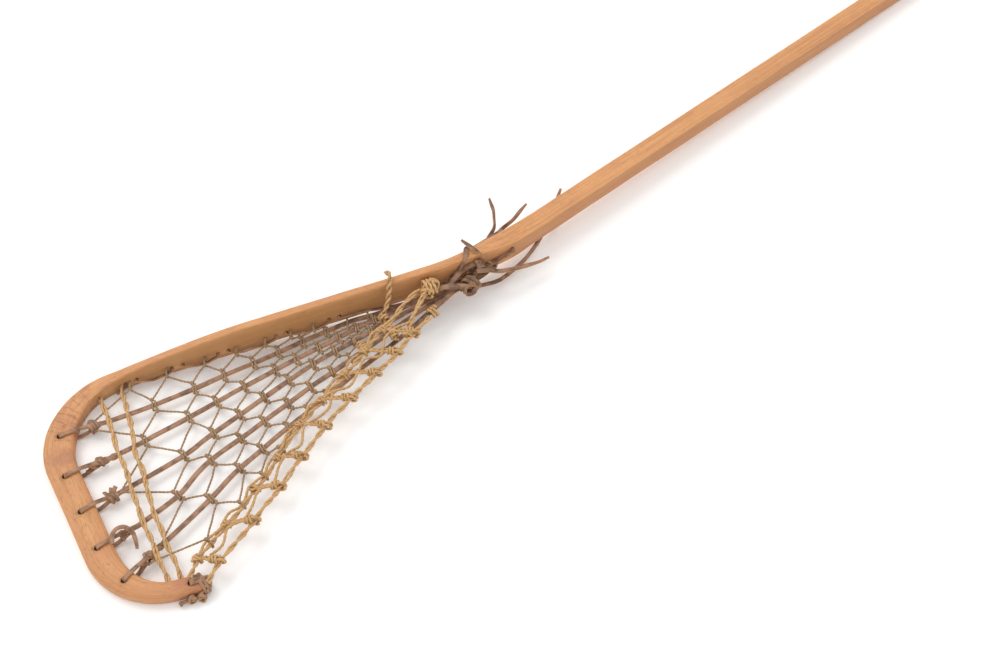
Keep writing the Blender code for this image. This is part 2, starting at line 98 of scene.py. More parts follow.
THONG_ROUTES = (
    ((132, 12, 16), (165, 3, 15), (200, -8, 13.5), (230, -20, 12), (300, -37, 9), (380, -55, 8),
     (420, -64, 8), (462, -76, 9.5)),
    ((132, 15.5, 19), (180, 4, 17), (242, -10, 13), (310, -22, 8.5), (402, -32, 8), (447, -37, 8),
     (483, -42, 9.5)),
    ((104, 20.9, 23.9), (132, 17.8, 21.6), (180, 12.5, 19.5), (257, 0, 13), (308, -4, 9), (395, -3, 8),
     (429, -1, 8), (497, -6, 9.5)),
    ((108, 29, 27), (118, 27, 26.5), (132, 23, 25), (180, 21, 21.5), (273, 17, 12.5), (324, 16, 8.5),
     (413, 19, 8), (455, 30, 8), (500, 33, 9.5)),
    ((108, 36, 28), (118, 33.5, 28.5), (132, 28, 28), (180, 31.5, 23.5), (260, 33, 13.5), (339, 37, 8.5),
     (398, 43, 8), (436, 52, 8), (497, 63, 9.5)),
)
THONG_HOLES_S = (1097.9, 1150.0, 1190.8, 1231.5, 1281.4)
RAIL_KNOTS = (424, 390, 356, 327, 301, 277, 256)
THONG_KNOTS = (
    (418, 379, 350, 321, 296, 272, 248, 228, 209),
    (446, 401, 372, 343, 310, 288, 265, 244, 225, 207),
    (428, 394, 364, 336, 307, 280, 256, 236, 218, 200),
    (455, 412, 378, 351, 323, 297, 272, 250, 231),
    (435, 397, 370, 338, 313, 290),
)
WALL_KNOTS = (461, 417, 385, 357)
RAIL_HOLES_S = (989.5, 945.0, 900.5, 843.8, 791.2)
LACE_START_S = 765.0
STITCH = 10.0
STRING_ENDS = ((1029.8, 8.0), (1005.0, 8.5), (1328.0, 7.0), (1341.0, 7.0))
THROAT_HOLES = ((664.0, 18.0), (640.0, 23.5), (616.0, 30.0))
WALL_INNER = (
    (495, 108, 17), (487, 103, 17.5), (478, 97.5, 16), (461, 91, 14), (420, 79, 12.5), (377, 64, 13),
    (335, 47, 15.5), (285, 36, 20), (243, 27, 26), (204, 18, 31), (176, 11, 34), (160, 9, 35.5),
)
WALL_OUTER = (
    (486, 121, 14), (467, 113, 18), (427, 103, 20), (374, 85, 21), (336, 72, 22), (297, 61, 24),
    (252, 54, 27), (226, 50, 28.5), (195, 42, 29), (170, 37, 29),
)
LATTICE_INNER = (479, 440, 400, 366, 330, 300, 268, 240, 214)
LATTICE_OUTER = (466, 420, 383, 350, 315, 280, 246, 218, 192)
GUT_UPRIGHT = ((201, 5, 27), (191, 0, 34), (182, -8, 44), (177, -14, 49.5), (177, -20, 49.2))
LOOSE_ENDS = (
    ((69, 3, 33.5), (58, -1, 36), (52, -8, 40), (47, -15, 42), (44, -22, 43), (41, -28, 43)),
    ((56, -1, 23), (44, -5, 20), (30, -5, 22.5), (19, -7, 25.5), (9, -9, 27)),
    ((104.5, 27.5, 35), (95, 31.8, 33), (83, 38.6, 28), (66.4, 43.1, 23), (50.1, 46.6, 19),
     (40.3, 48.7, 17.5),
     (30.3, 49.3, 16)),
    ((114, 21, 12.5), (106, 26.5, 11), (96, 31, 10), (85, 34.5, 9), (74, 35, 8.5), (60, 33.5, 8),
     (46, 31.5, 8),
     (27, 25.5, 8), (10, 18, 8), (-12, 6, 8.5), (-29, -4, 12), (-36.5, -8, 16)),
    ((86, 28.5, 34), (89, 26.5, 38), (91.5, 24.5, 42), (93.5, 22.2, 46), (95, 18, 48.9), (96.5, 12, 50),
     (98, 5, 50.6),
     (99, -1, 51)),
)
HOOKED_END = ((528, 38, 18), (524, 32, 19.5), (518, 29, 19.8), (511.5, 31, 19.3), (508, 38, 16.5),
              (510, 46, 13),
              (513, 52, 10.5))


def leg_length(leg):
    size, turn = leg
    return size if turn == 0 else size * abs(math.radians(turn))


def edge_at(s):
    """The outer edge's plan point and heading (radians) at distance s from the butt."""
    x, y, heading = BUTT_X, BUTT_Y, 0.0
    for leg in LEGS:
        size, turn = leg
        length = leg_length(leg)
        part = min(s, length)
        if turn == 0:
            x += part * math.cos(heading)
            y += part * math.sin(heading)
        else:
            side = math.copysign(1.0, turn)
            end = heading + side * part / size
            x += side * size * (math.sin(end) - math.sin(heading))
            y -= side * size * (math.cos(end) - math.cos(heading))
            heading = end
        s -= part
        if s <= 0:
            break
    return x, y, heading


MARKS = np.cumsum([leg_length(leg) for leg in LEGS]).tolist()
S_THROAT, S_RAIL, S_BEND1, S_SCOOP, S_BEND2, S_TIP, S_END = MARKS
WIDE_S = S_BEND1 + 0.75 * (S_SCOOP - S_BEND1)
LOW_S = S_BEND1 + 0.55 * (S_SCOOP - S_BEND1)


def blend(s, keys):
    """A smooth curve through (distance, value) keys."""
    if s <= keys[0][0]:
        return keys[0][1]
    for (s0, v0), (s1, v1) in zip(keys, keys[1:]):
        if s <= s1:
            t = (s - s0) / (s1 - s0)
            return v0 + (v1 - v0) * t * t * (3 - 2 * t)
    return keys[-1][1]


def section(s):
    """Width, height, corner radius, distance of the middle from the outer edge path, and underside height."""
    width = blend(s, (
        (S_THROAT - 40, SHAFT_WIDTH), (S_THROAT + 40, RAIL_WIDTH), (S_BEND1 - 40, RAIL_WIDTH),
        (WIDE_S, SCOOP_WIDTH), (S_BEND2, SCOOP_WIDTH), (S_TIP, TIP_WIDTH),
    ))
    height = blend(s, (
        (S_THROAT - 70, SHAFT_HEIGHT), (S_THROAT + 35, RAIL_HEIGHT), (S_BEND1 - 140, RAIL_HEIGHT),
        (LOW_S, SCOOP_HEIGHT),
    ))
    corner = blend(s, (
        (S_THROAT - 30, SHAFT_CORNER), (S_THROAT + 50, RAIL_CORNER), (S_BEND1, RAIL_CORNER),
        (WIDE_S, SCOOP_CORNER),
    ))
    middle = blend(s, (
        (S_THROAT - 40, SHAFT_MIDDLE), (S_THROAT + 40, RAIL_WIDTH / 2), (S_BEND1 - 40, RAIL_WIDTH / 2),
        (WIDE_S, SCOOP_WIDTH / 2), (S_BEND2, SCOOP_WIDTH / 2), (S_TIP, TIP_WIDTH / 2),
    ))
    under = float(np.interp(s, (0, S_THROAT - 55, S_THROAT + 65, S_BEND1), (0, THROAT_LIFT, RAIL_LIFT, 0)))
    return width, height, corner, middle, under


def at(s, across, z):
    """The point at distance s, across from the section's middle (+ is inward) and z above the table."""
    x, y, heading = edge_at(s)
    out = section(s)[3] + across
    return Vector((x - out * math.sin(heading), y + out * math.cos(heading), z))


def inner_face(s, off, z):
    return at(s, section(s)[0] / 2 + off, z)


def lace_height(s):
    return section(s)[4] + 9.0


def scoop_line(k):
    """Plan point of scoop hole k, the unit direction from it into the head, and the wood between them."""
    hole = at(THONG_HOLES_S[k], 0, 0)
    last = Vector(THONG_ROUTES[k][-1])
    line = Vector((last.x - hole.x, last.y - hole.y, 0)).normalized()
    heading = edge_at(THONG_HOLES_S[k])[2]
    inward = Vector((-math.sin(heading), math.cos(heading), 0))
    return hole, line, section(THONG_HOLES_S[k])[0] / 2 / line.dot(inward)


# ---------------------------------------------------------------- routes

def smooth_route(points, step):
    """Points about step apart on a smooth curve through a route's own points."""
    pts = [Vector(p) for p in points]
    pts = [pts[0] * 2 - pts[1]] + pts + [pts[-1] * 2 - pts[-2]]
    out = []
    for p0, p1, p2, p3 in zip(pts, pts[1:], pts[2:], pts[3:]):
        count = max(1, round((p2 - p1).length / step))
        for k in range(count):
            t = k / count
            out.append((p1 * 2 + (p2 - p0) * t + (p0 * 2 - p1 * 5 + p2 * 4 - p3) * t ** 2
                        + (p1 * 3 - p0 - p2 * 3 + p3) * t ** 3) / 2)
    return out + [pts[-2]]


def rounded(points, radius, step):
    """The same route with each corner rounded, as points about step apart."""
    pts = [Vector(p) for p in points]
    pieces = [pts[0]]
    for before, corner, after in zip(pts, pts[1:], pts[2:]):
        back, on = before - corner, after - corner
        cut = min(radius, back.length * 0.48, on.length * 0.48)
        start, end = corner + back.normalized() * cut, corner + on.normalized() * cut
        for t in (0, 0.2, 0.4, 0.6, 0.8, 1):
            pieces.append(start * (1 - t) ** 2 + corner * (2 * t * (1 - t)) + end * t ** 2)
    pieces.append(pts[-1])
    return even(pieces, step)


def even(points, step):
    """Points at one spacing along a route."""
    co = np.array([tuple(p) for p in points])
    keep = np.concatenate([[True], np.linalg.norm(np.diff(co, axis=0), axis=1) > 1e-6])
    co = co[keep]
    run = np.concatenate([[0], np.cumsum(np.linalg.norm(np.diff(co, axis=0), axis=1))])
    marks = np.linspace(0, run[-1], max(2, round(run[-1] / step) + 1))
    return [Vector(p) for p in np.stack([np.interp(marks, run, co[:, i]) for i in range(3)], axis=1).tolist()]


def waver(points, size, wave, seed):
    """The route with small hand-made wanderings, none at its two ends."""
    out = []
    last = max(1, len(points) - 1)
    for i, p in enumerate(points):
        fade = min(1.0, 8 * i / last, 8 * (last - i) / last)
        out.append(p + noise.noise_vector(p / wave + Vector((seed, 3 * seed, 0))) * size * fade)
    return out


def headings(points):
    legs = [(b - a).normalized() for a, b in zip(points, points[1:])]
    return [legs[0]] + [(a + b).normalized() for a, b in zip(legs, legs[1:])] + [legs[-1]]


def level_frames(points):
    """(heading, side, top) along a route: the side stays level wherever the route isn't steep."""
    found = []
    side = None
    for line in headings(points):
        level = Vector((0, 0, 1)).cross(line)
        if side is None:
            side = level.normalized() if level.length > 0.1 else line.orthogonal().normalized()
        side = (side - line * side.dot(line)).normalized()
        if level.length > 0.5:
            aim = level.normalized() * math.copysign(1.0, level.dot(side))
            side = side.lerp(aim, min(1.0, (level.length - 0.5) * 2)).normalized()
        found.append((line, side, line.cross(side)))
    return found


def along(route, x):
    """The point and direction of a route where it passes x."""
    pts = sorted((Vector(p) for p in route), key=lambda p: p.x)
    for a, b in zip(pts, pts[1:]):
        if a.x <= x <= b.x:
            return a.lerp(b, (x - a.x) / (b.x - a.x)), (b - a).normalized()
    return pts[-1], (pts[-1] - pts[-2]).normalized()


def coil(centre, axis, across, half_across, half_up, turns, pitch, steps=14, start=0.0):
    """Points of an oval coil about an axis."""
    axis = Vector(axis).normalized()
    across = Vector(across)
    across = (across - axis * across.dot(axis)).normalized()
    up = axis.cross(across)
    count = int(turns * steps)
    pts = []
    for k in range(count + 1):
        angle = start + 2 * math.pi * k / steps
        slide = pitch * (k / steps - turns / 2)
        pts.append(Vector(centre) + axis * slide + across * (half_across * math.cos(angle))
                   + up * (half_up * math.sin(angle)))
    return pts


# ---------------------------------------------------------------- shader expressions

class Value:
    """A number, vector or colour inside a finish, with Python's arithmetic on numbers."""

    def __init__(self, finish, socket):
        self.finish, self.socket = finish, socket

    def _do(self, operation, first, second=None):
        sockets = {0: first} if second is None else {0: first, 1: second}
        return self.finish.put("Math", {"operation": operation}, sockets)

    def __add__(self, other):
        return self._do("ADD", self, other)

    def __radd__(self, other):
        return self._do("ADD", other, self)

    def __sub__(self, other):
        return self._do("SUBTRACT", self, other)

    def __rsub__(self, other):
        return self._do("SUBTRACT", other, self)

    def __mul__(self, other):
        return self._do("MULTIPLY", self, other)

    def __rmul__(self, other):
        return self._do("MULTIPLY", other, self)

    def cos(self):
        return self._do("COSINE", self)

    def size(self):
        return self._do("ABSOLUTE", self)

    def step(self, low, high):
        """0 below low, 1 above high, smooth between; high may be the smaller one."""
        return self.finish.put("MapRange", {"interpolation_type": "SMOOTHSTEP"},
                               {"Value": self, "From Min": low, "From Max": high})


class Finish:
    """A material on one Principled shader."""

    def __init__(self, name, **constants):
        self.material = bpy.data.materials.new(name)
        self.material.use_nodes = True
        self.tree = self.material.node_tree
        self.shader = self.tree.nodes["Principled BSDF"]
        for key, value in constants.items():
            self.shader.inputs[key.replace("_", " ")].default_value = value

    def put(self, kind, settings=None, sockets=None, output=0):
        """A new node: its settings first, then the values or links of its sockets."""
        node = self.tree.nodes.new("ShaderNode" + kind)
        for key, value in (settings or {}).items():
            setattr(node, key, value)
        for key, value in (sockets or {}).items():
            if isinstance(value, Value):
                self.tree.links.new(value.socket, node.inputs[key])
            else:
                node.inputs[key].default_value = value
        return Value(self, node.outputs[output])

    def attribute(self, name):
        return self.put("Attribute", {"attribute_name": name}, output=1)

    def parts(self, vector):
        return [self.put("SeparateXYZ", sockets={0: vector}, output=i) for i in range(3)]

    def scaled(self, vector, scale):
        return self.put("VectorMath", {"operation": "MULTIPLY"}, {0: vector, 1: scale})

    def noise(self, vector, scale, detail=3.0, rough=0.55, distortion=0.0):
        return self.put("TexNoise", {}, {"Vector": vector, "Scale": scale, "Detail": detail,
                                         "Roughness": rough,
                                         "Distortion": distortion})

    def mix(self, factor, first, second):
        """From the first colour to the second."""
        return self.put("Mix", {"data_type": "RGBA"}, {0: factor, 6: first, 7: second}, output=2)

    def coat(self, colour, roughness, height, depth):
        """Joins a colour, a roughness and a bump of that depth in metres to the shader."""
        bump = self.put("Bump", {}, {"Height": height, "Distance": depth, "Strength": 1.0})
        for value, name in ((colour, "Base Color"), (roughness, "Roughness"), (bump, "Normal")):
            self.tree.links.new(value.socket, self.shader.inputs[name])
        return self.material


def tone(colour, factor=1.0):
    """A colour property as the four numbers of a socket, made lighter or darker."""
    return (*(min(1.0, c * factor) for c in colour), 1.0)


def ash_finish(name, wood):
    """Oiled ash: long streaks, short pores, handling stains at the crook and dirt round the holes, with
    handling stains and painted shade on the rail's inner face, painted shade on the shaft's side facet and
    painted highlights along the corners.
    """
    f = Finish(name, IOR=1.45)
    grain = f.attribute("grain")
    run, across = f.parts(grain)[:2]
    inner, edge, dirt = f.parts(f.attribute("wear"))
    bands = f.noise(f.scaled(grain, (5, 150, 150)), 1.0, 2.0, 0.5, 0.6).step(0.3, 0.7)
    streaks = f.noise(f.scaled(grain, (9, 620, 620)), 1.0, 4.0, 0.6)
    lines = f.noise(f.scaled(grain, (22, 1500, 1500)), 1.0, 3.0, 0.6)
    pores = f.noise(f.scaled(grain, (190, 3000, 3000)), 1.0, 3.0, 0.55)
    blotches = f.noise(grain, 26.0, 3.0, 0.55)
    rosy = f.noise(grain, 75.0, 4.0, 0.65)
    head = run.step(0.95, 1.10)
    colour = f.mix(bands, tone(wood.light), tone(wood.middle))
    colour = f.mix(streaks.step(0.42, 0.60) * 0.7, colour, tone(wood.dark, 1.2))
    colour = f.mix(lines.step(0.50, 0.62) * 0.55, colour, tone(wood.dark, 1.1))
    colour = f.mix(rosy.step(0.42, 0.72) * (0.25 + 0.35 * head), colour, tone(wood.stain, 1.45))
    colour = f.mix(blotches.step(0.40, 0.75) * 0.3, colour, tone(wood.light, 1.1))
    # The rail's inner face: handling stains plus painted shade, as that face turns away from the key light.
    colour = f.mix(inner * (0.5 + 0.4 * streaks.step(0.35, 0.6)), colour, tone(wood.inner))
    crook = run.step(1.000, 1.045) * run.step(1.175, 1.135)
    red = crook * f.noise(grain, 42.0, 4.0, 0.6).step(0.42, 0.64)
    colour = f.mix(red * 0.8, colour, tone(wood.stain))
    colour = f.mix(head * 0.22, colour, tone(wood.middle, 0.7))
    tip = run.step(1.305, 1.35) * f.noise(grain, 60.0, 4.0, 0.6).step(0.32, 0.6)
    colour = f.mix(tip * 0.75, colour, tone(wood.stain))
    crack_wave = f.noise(f.scaled(grain, (95, 20, 20)), 1.0, 3.0, 0.6)
    crack = (1 - (crack_wave - 0.5).size().step(0.004, 0.016)) * run.step(1.03, 1.05) * run.step(1.115, 1.09)
    colour = f.mix(crack * 0.22, colour, tone(wood.stain, 0.4))
    colour = f.mix(pores.step(0.58, 0.72) * 0.5, colour, tone(wood.dark, 0.8))
    flecks = f.noise(f.scaled(grain, (60, 420, 420)), 1.0, 1.0, 0.5).step(0.71, 0.77)
    colour = f.mix(flecks * 0.3, colour, tone(wood.dark, 0.6))
    # Corners lighter: worn edges plus a painted highlight along them.
    colour = f.mix(edge * f.noise(grain, 70.0, 3.0, 0.6).step(0.36, 0.6) * 0.6, colour,
                   tone(wood.light, 1.25))
    shaft = run.step(0.69, 0.61)
    # Painted shade: the shaft's side facet made darker than its top.
    colour = f.mix(shaft * across.step(0.0085, 0.0098) * (0.40 + 0.25 * streaks), colour,
                   tone(wood.dark, 0.95))
    # A painted highlight along the shaft's ridges.
    colour = f.mix(shaft * edge * (0.55 + 0.45 * blotches), colour, tone(wood.light, 1.55))
    colour = f.mix(dirt * (0.6 + 0.4 * blotches), colour, tone(wood.stain, 0.22))
    rough = 0.34 + 0.16 * blotches + 0.14 * streaks + 0.2 * dirt
    height = streaks * 0.5 - pores.step(0.58, 0.75) * 0.6 - crack * 1.0 + blotches * 0.5
    return f.coat(colour, rough, height, 0.00035)


def leather_finish(name, leather, age):
    """Old oiled leather straps: dark worn faces, tan cut edges, painted shade towards the sides of each face
    and near the throat; age 0 to 1 turns them greyer.
    """
    f = Finish(name, IOR=1.45)
    strap = f.attribute("strap")
    where = f.put("TexCoord", output=3)
    across, cut = f.parts(strap)[1:]
    # throat: a mask near the throat for painted shade among the crowded straps.
    throat = f.parts(where)[0].step(0.30, 0.17) * f.parts(where)[0].step(0.03, 0.09)
    mottle = f.noise(where, 120.0, 2.0, 0.5)
    scuff = f.noise(f.scaled(strap, (90, 1.6, 0)), 1.0, 4.0, 0.65)
    pebble = f.noise(where, 1500.0, 2.0, 0.5)
    colour = f.mix(mottle.step(0.25, 0.66), tone(leather.dark), tone(leather.brown))
    colour = f.mix(scuff.step(0.44, 0.70) * (0.18 + 0.5 * age), colour, tone(leather.grey))
    # Painted shade: each face darker towards its sides, which leaves a lighter middle.
    colour = f.mix(across.size().step(0.62, 0.95) * 0.4, colour, tone(leather.dark, 0.75))
    colour = f.mix(cut.step(0.35, 0.6) * (0.92 - 0.45 * age) * mottle.step(0.1, 0.5), colour,
                   tone(leather.edge))
    # Painted shade near the throat, where the straps crowd together.
    colour = f.mix(throat * (0.15 + 0.30 * mottle.step(0.62, 0.35)), colour, tone(leather.dark, 0.55))
    rough = 0.40 + 0.25 * scuff + 0.15 * age
    return f.coat(colour, rough, pebble * 0.35 + scuff * 0.8 + mottle * 0.5, 0.00030)


def cord_finish(name, light, dark, blotch, plies, rough, patch, valley_shade_amount):
    """A laid cord: light ridges, painted shade in the valleys between its plies, fibres along each ply and
    soiled patches.
    """
    f = Finish(name, IOR=1.45)
    where = f.put("TexCoord", output=3)
    turn, run, _ = f.parts(f.attribute("lay"))
    valley = 0.5 + 0.5 * (turn * (2 * math.pi * plies)).cos()
    soil = f.noise(where, 55.0, 3.0, 0.55)
    fibre = f.noise(f.put("CombineXYZ", sockets={0: turn * 16, 1: run * 420, 2: soil * 3}), 1.0, 3.0, 0.6)
    colour = f.mix(fibre.step(0.3, 0.72), tone(light, 0.86), tone(light, 1.12))
    # Painted shade in the valleys between the plies.
    colour = f.mix((1 - valley.step(0.0, 0.30)) * valley_shade_amount, colour, tone(dark))
    colour = f.mix(soil.step(0.46, 0.7) * patch, colour, tone(blotch))
    return f.coat(colour, rough + 0.18 * fibre, fibre * 0.5 + valley.step(0.0, 0.4) * 0.6, 0.00030)


# ---------------------------------------------------------------- laid cords (Geometry Nodes)

class Tree:
    """A Geometry Nodes tree with named inputs."""

    def __init__(self, name, inputs):
        self.group = bpy.data.node_groups.new(name, "GeometryNodeTree")
        face = self.group.interface
        face.new_socket("Geometry", in_out="OUTPUT", socket_type="NodeSocketGeometry")
        self.keys = {"Geometry": face.new_socket("Geometry", in_out="INPUT",
                                                 socket_type="NodeSocketGeometry").identifier}
        for key, kind, value in inputs:
            item = face.new_socket(key, in_out="INPUT", socket_type="NodeSocket" + kind)
            if value is not None:
                item.default_value = value
            self.keys[key] = item.identifier
        self.start = self.group.nodes.new("NodeGroupInput")

    def put(self, kind, settings=None, sockets=None):
        node = self.group.nodes.new(kind)
        for key, value in (settings or {}).items():
            setattr(node, key, value)
        for key, value in (sockets or {}).items():
            if isinstance(value, bpy.types.NodeSocket):
                self.group.links.new(value, node.inputs[key])
            else:
                node.inputs[key].default_value = value
        return node

    def maths(self, operation, first, second=0.0):
        return self.put("ShaderNodeMath", {"operation": operation}, {0: first, 1: second}).outputs[0]

    def given(self, name):
        return self.start.outputs[name]


def laid_cord_tree():
    """Sweeps a lobed section along each open run of edges, turning it once in each length of lay."""
    tree = Tree("laid_cord", (
        ("Radius", "Float", 0.0009), ("Plies", "Float", 2.0), ("Depth", "Float", 0.2),
        ("Lay", "Float", 0.006),
        ("Step", "Float", 0.0008), ("Sides", "Int", 12), ("Material", "Material", None),
    ))
    runs = tree.put("GeometryNodeMeshToCurve", {}, {"Mesh": tree.given("Geometry")}).outputs[0]
    runs = tree.put("GeometryNodeResampleCurve", {"mode": "LENGTH"},
                    {"Curve": runs, "Length": tree.given("Step")}).outputs[0]
    place = tree.put("GeometryNodeSplineParameter")
    turns = tree.maths("DIVIDE", tree.maths("MULTIPLY", place.outputs["Length"], 2 * math.pi),
                       tree.given("Lay"))
    runs = tree.put("GeometryNodeSetCurveTilt", {}, {"Curve": runs, "Tilt": turns}).outputs[0]
    runs = tree.put("GeometryNodeStoreNamedAttribute", {"data_type": "FLOAT", "domain": "POINT"},
                    {"Geometry": runs, "Name": "run", "Value": place.outputs["Length"]}).outputs[0]
    ring = tree.put("GeometryNodeCurvePrimitiveCircle", {"mode": "RADIUS"},
                    {"Resolution": tree.given("Sides"), "Radius": 1.0}).outputs[0]
    spot = tree.put("GeometryNodeInputPosition").outputs[0]
    parts = tree.put("ShaderNodeSeparateXYZ", {}, {0: spot})
    angle = tree.maths("ARCTAN2", parts.outputs[1], parts.outputs[0])
    lobe = tree.maths("COSINE", tree.maths("MULTIPLY", angle, tree.given("Plies")))
    reach = tree.maths("ADD", tree.maths("MULTIPLY", lobe, tree.given("Depth")),
                       tree.maths("SUBTRACT", 1.0, tree.given("Depth")))
    reach = tree.maths("MULTIPLY", reach, tree.given("Radius"))
    moved = tree.put("ShaderNodeVectorMath", {"operation": "SCALE"}, {0: spot, "Scale": reach}).outputs[0]
    ring = tree.put("GeometryNodeSetPosition", {}, {"Geometry": ring, "Position": moved}).outputs[0]
    ring = tree.put("GeometryNodeStoreNamedAttribute", {"data_type": "FLOAT", "domain": "POINT"},
                    {"Geometry": ring, "Name": "turn",
                     "Value": tree.maths("DIVIDE", angle, 2 * math.pi)}).outputs[0]
    skin = tree.put("GeometryNodeCurveToMesh", {}, {"Curve": runs, "Profile Curve": ring, "Fill Caps": True})
    skin = tree.put("GeometryNodeSetShadeSmooth", {},
                    {"Geometry": skin.outputs[0], "Shade Smooth": True}).outputs[0]
    skin = tree.put("GeometryNodeRealizeInstances", {}, {"Geometry": skin}).outputs[0]
    skin = tree.put("GeometryNodeSetMaterial", {},
                    {"Geometry": skin, "Material": tree.given("Material")}).outputs[0]
    tree.put("NodeGroupOutput", {}, {"Geometry": skin})
    return tree


def laid_cord(name, runs, tree, material, diameter, plies, depth, lay, step, sides=12):
    """One mesh of laid cords that follow runs of points in millimetres."""
    co = [tuple(p * MM) for run in runs for p in run]
    links = []
    first = 0
    for run in runs:
        links += [(first + i, first + i + 1) for i in range(len(run) - 1)]
        first += len(run)
    guide = bpy.data.meshes.new(name + "_guide")
    guide.from_pydata(co, links, [])
    obj = bpy.data.objects.new(name, guide)
    bpy.context.scene.collection.objects.link(obj)
    modifier = obj.modifiers.new("laid_cord", "NODES")
    modifier.node_group = tree.group
    for key, value in (("Radius", diameter * MM / 2), ("Plies", float(plies)), ("Depth", depth),
                       ("Lay", lay * MM),
                       ("Step", step * MM), ("Sides", sides), ("Material", material)):
        modifier[tree.keys[key]] = value
    bpy.context.view_layer.update()
    graph = bpy.context.evaluated_depsgraph_get()
    mesh = bpy.data.meshes.new_from_object(obj.evaluated_get(graph))
    obj.modifiers.clear()
    obj.data = mesh
    bpy.data.meshes.remove(guide)
    mesh.name = name
    join_lay(mesh)
    return obj


def join_lay(mesh):
    """Puts the round-the-cord turn and the run of each point in one attribute for the finishes."""
    count = len(mesh.vertices)
    values = np.zeros((count, 3), np.float32)
    for column, key in ((0, "turn"), (1, "run")):
        found = mesh.attributes.get(key)
        if found is None or found.domain != "POINT":
            raise RuntimeError(f"{mesh.name} has no {key} on its points")
        column_values = np.zeros(count, np.float32)
        found.data.foreach_get("value", column_values)
        values[:, column] = column_values
    mesh.attributes.new("lay", "FLOAT_VECTOR", "POINT").data.foreach_set("vector", values.ravel())
    for key in ("turn", "run"):
        mesh.attributes.remove(mesh.attributes[key])


# ---------------------------------------------------------------- straps

def strap_outline(width, thickness):
    """(side, top, cut edge) of the points round a strap's section."""
    a, b = width / 2, thickness / 2
    c = b * 0.45
    quarter = [(a - c, b, 0.0), (a, b - c, 1.0), (a, c - b, 1.0), (a - c, -b, 0.0)]
    low = [(a * 0.35, -b * 1.06, 0.0), (-a * 0.35, -b * 1.06, 0.0)]
    other = [(-x, -y, e) for x, y, e in quarter]
    high = [(-x, -y, e) for x, y, e in low]
    return quarter + low + other + high


def strap_rings(points, width, thickness, roll, seed, taper=None):
    """Rings of ((point), (run, across, cut)) for a strap along points in millimetres."""
    rings = []
    run = 0.0
    for i, (p, (line, side, top)) in enumerate(zip(points, level_frames(points))):
        if i:
            run += (p - points[i - 1]).length
        turn = roll(run) if callable(roll) else roll
        a = side * math.cos(turn) + top * math.sin(turn)
        b = top * math.cos(turn) - side * math.sin(turn)
        wide = 1 + 0.09 * noise.noise(Vector((run / 17, seed, 0)))
        if callable(taper):
            wide *= taper(run)
        thick = 1 + 0.12 * noise.noise(Vector((run / 11, seed, 7)))
        ring = []
        for x, y, cut in strap_outline(width, thickness):
            ring.append((p + a * (x * wide) + b * (y * thick), (run * MM + seed, 2 * x / width, cut)))
        rings.append(ring)
    return rings


def strap(name, runs, material):
    """One mesh of flat straps; each run is (points, width, thickness, roll, seed) and may add a taper."""
    bm = bmesh.new()
    layer = bm.verts.layers.float_vector.new("strap")
    for run in runs:
        rows = []
        for ring in strap_rings(*run):
            row = []
            for place, marks in ring:
                vert = bm.verts.new(place * MM)
                vert[layer] = Vector(marks)
                row.append(vert)
            rows.append(row)
        count = len(rows[0])
        for low, high in zip(rows, rows[1:]):
            for k in range(count):
                m = (k + 1) % count
                bm.faces.new((low[k], low[m], high[m], high[k]))
        bm.faces.new(rows[0][::-1])
        bm.faces.new(rows[-1])
    bmesh.ops.recalc_face_normals(bm, faces=bm.faces[:])
    mesh = bpy.data.meshes.new(name)
    bm.to_mesh(mesh)
    bm.free()
    return finished(name, mesh, material, 42)


def finished(name, mesh, material, sharp):
    """An object of that mesh, smooth but for edges sharper than that many degrees."""
    mesh.materials.clear()
    mesh.materials.append(material)
    mesh.shade_smooth()
    mesh.set_sharp_from_angle(angle=math.radians(sharp))
    obj = bpy.data.objects.new(name, mesh)
    bpy.context.scene.collection.objects.link(obj)
    return obj


def stands_for(obj, slot, *nodes):
    """obj rides on the stick and is shown in place of those solids."""
    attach(obj, BODY)
    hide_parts(*nodes)
    return obj


# ---------------------------------------------------------------- settings

def colour_setting(name, description, value):
    return FloatVectorProperty(name=name, description=description, subtype="COLOR", size=3, min=0, max=1,
                               default=value)


def length_setting(name, description, value):
    return FloatProperty(name=name, description=description, unit="LENGTH", subtype="DISTANCE", min=0,
                         precision=5, default=value * MM)


class StageSettings(bpy.types.PropertyGroup):
    floor: colour_setting("Floor", "Colour of the table under the stick", (0.94, 0.938, 0.935))
    key: FloatProperty(name="Key light", description="Power of the large soft lamp", unit="POWER",
                       default=95.0)
    sky: FloatProperty(name="Sky", description="Strength of the even light from all round", default=0.94)
    lens: FloatProperty(name="Lens", description="Focal length of the camera in millimetres", default=60.0)


class WoodSettings(bpy.types.PropertyGroup):
    light: colour_setting("Light", "Early wood", (0.71, 0.355, 0.145))
    middle: colour_setting("Middle", "Late wood", (0.61, 0.285, 0.108))
    dark: colour_setting("Dark", "Streaks and pores", (0.44, 0.19, 0.075))
    # The inner face colour is handling stains plus painted shade.
    inner: colour_setting("Inner face", "Handled inner face of the rail", (0.58, 0.30, 0.12))
    stain: colour_setting("Stain", "Red-brown stains", (0.43, 0.17, 0.085))
    around: IntProperty(name="Points across a flat", description="Points along each flat of the section",
                        default=4,
                        min=1)
    step: length_setting("Station spacing", "Distance between rings in the head", 2.5)


class LeatherSettings(bpy.types.PropertyGroup):
    dark: colour_setting("Dark", "Oiled face", (0.120, 0.060, 0.036))
    brown: colour_setting("Brown", "Paler face", (0.37, 0.200, 0.118))
    grey: colour_setting("Grey", "Dry scuffs", (0.46, 0.325, 0.235))
    edge: colour_setting("Cut edge", "Raw tan edge", (0.56, 0.28, 0.095))
    width: length_setting("Thong width", "Width of a thong", THONG[0])
    thickness: length_setting("Thong thickness", "Thickness of a thong", THONG[1])


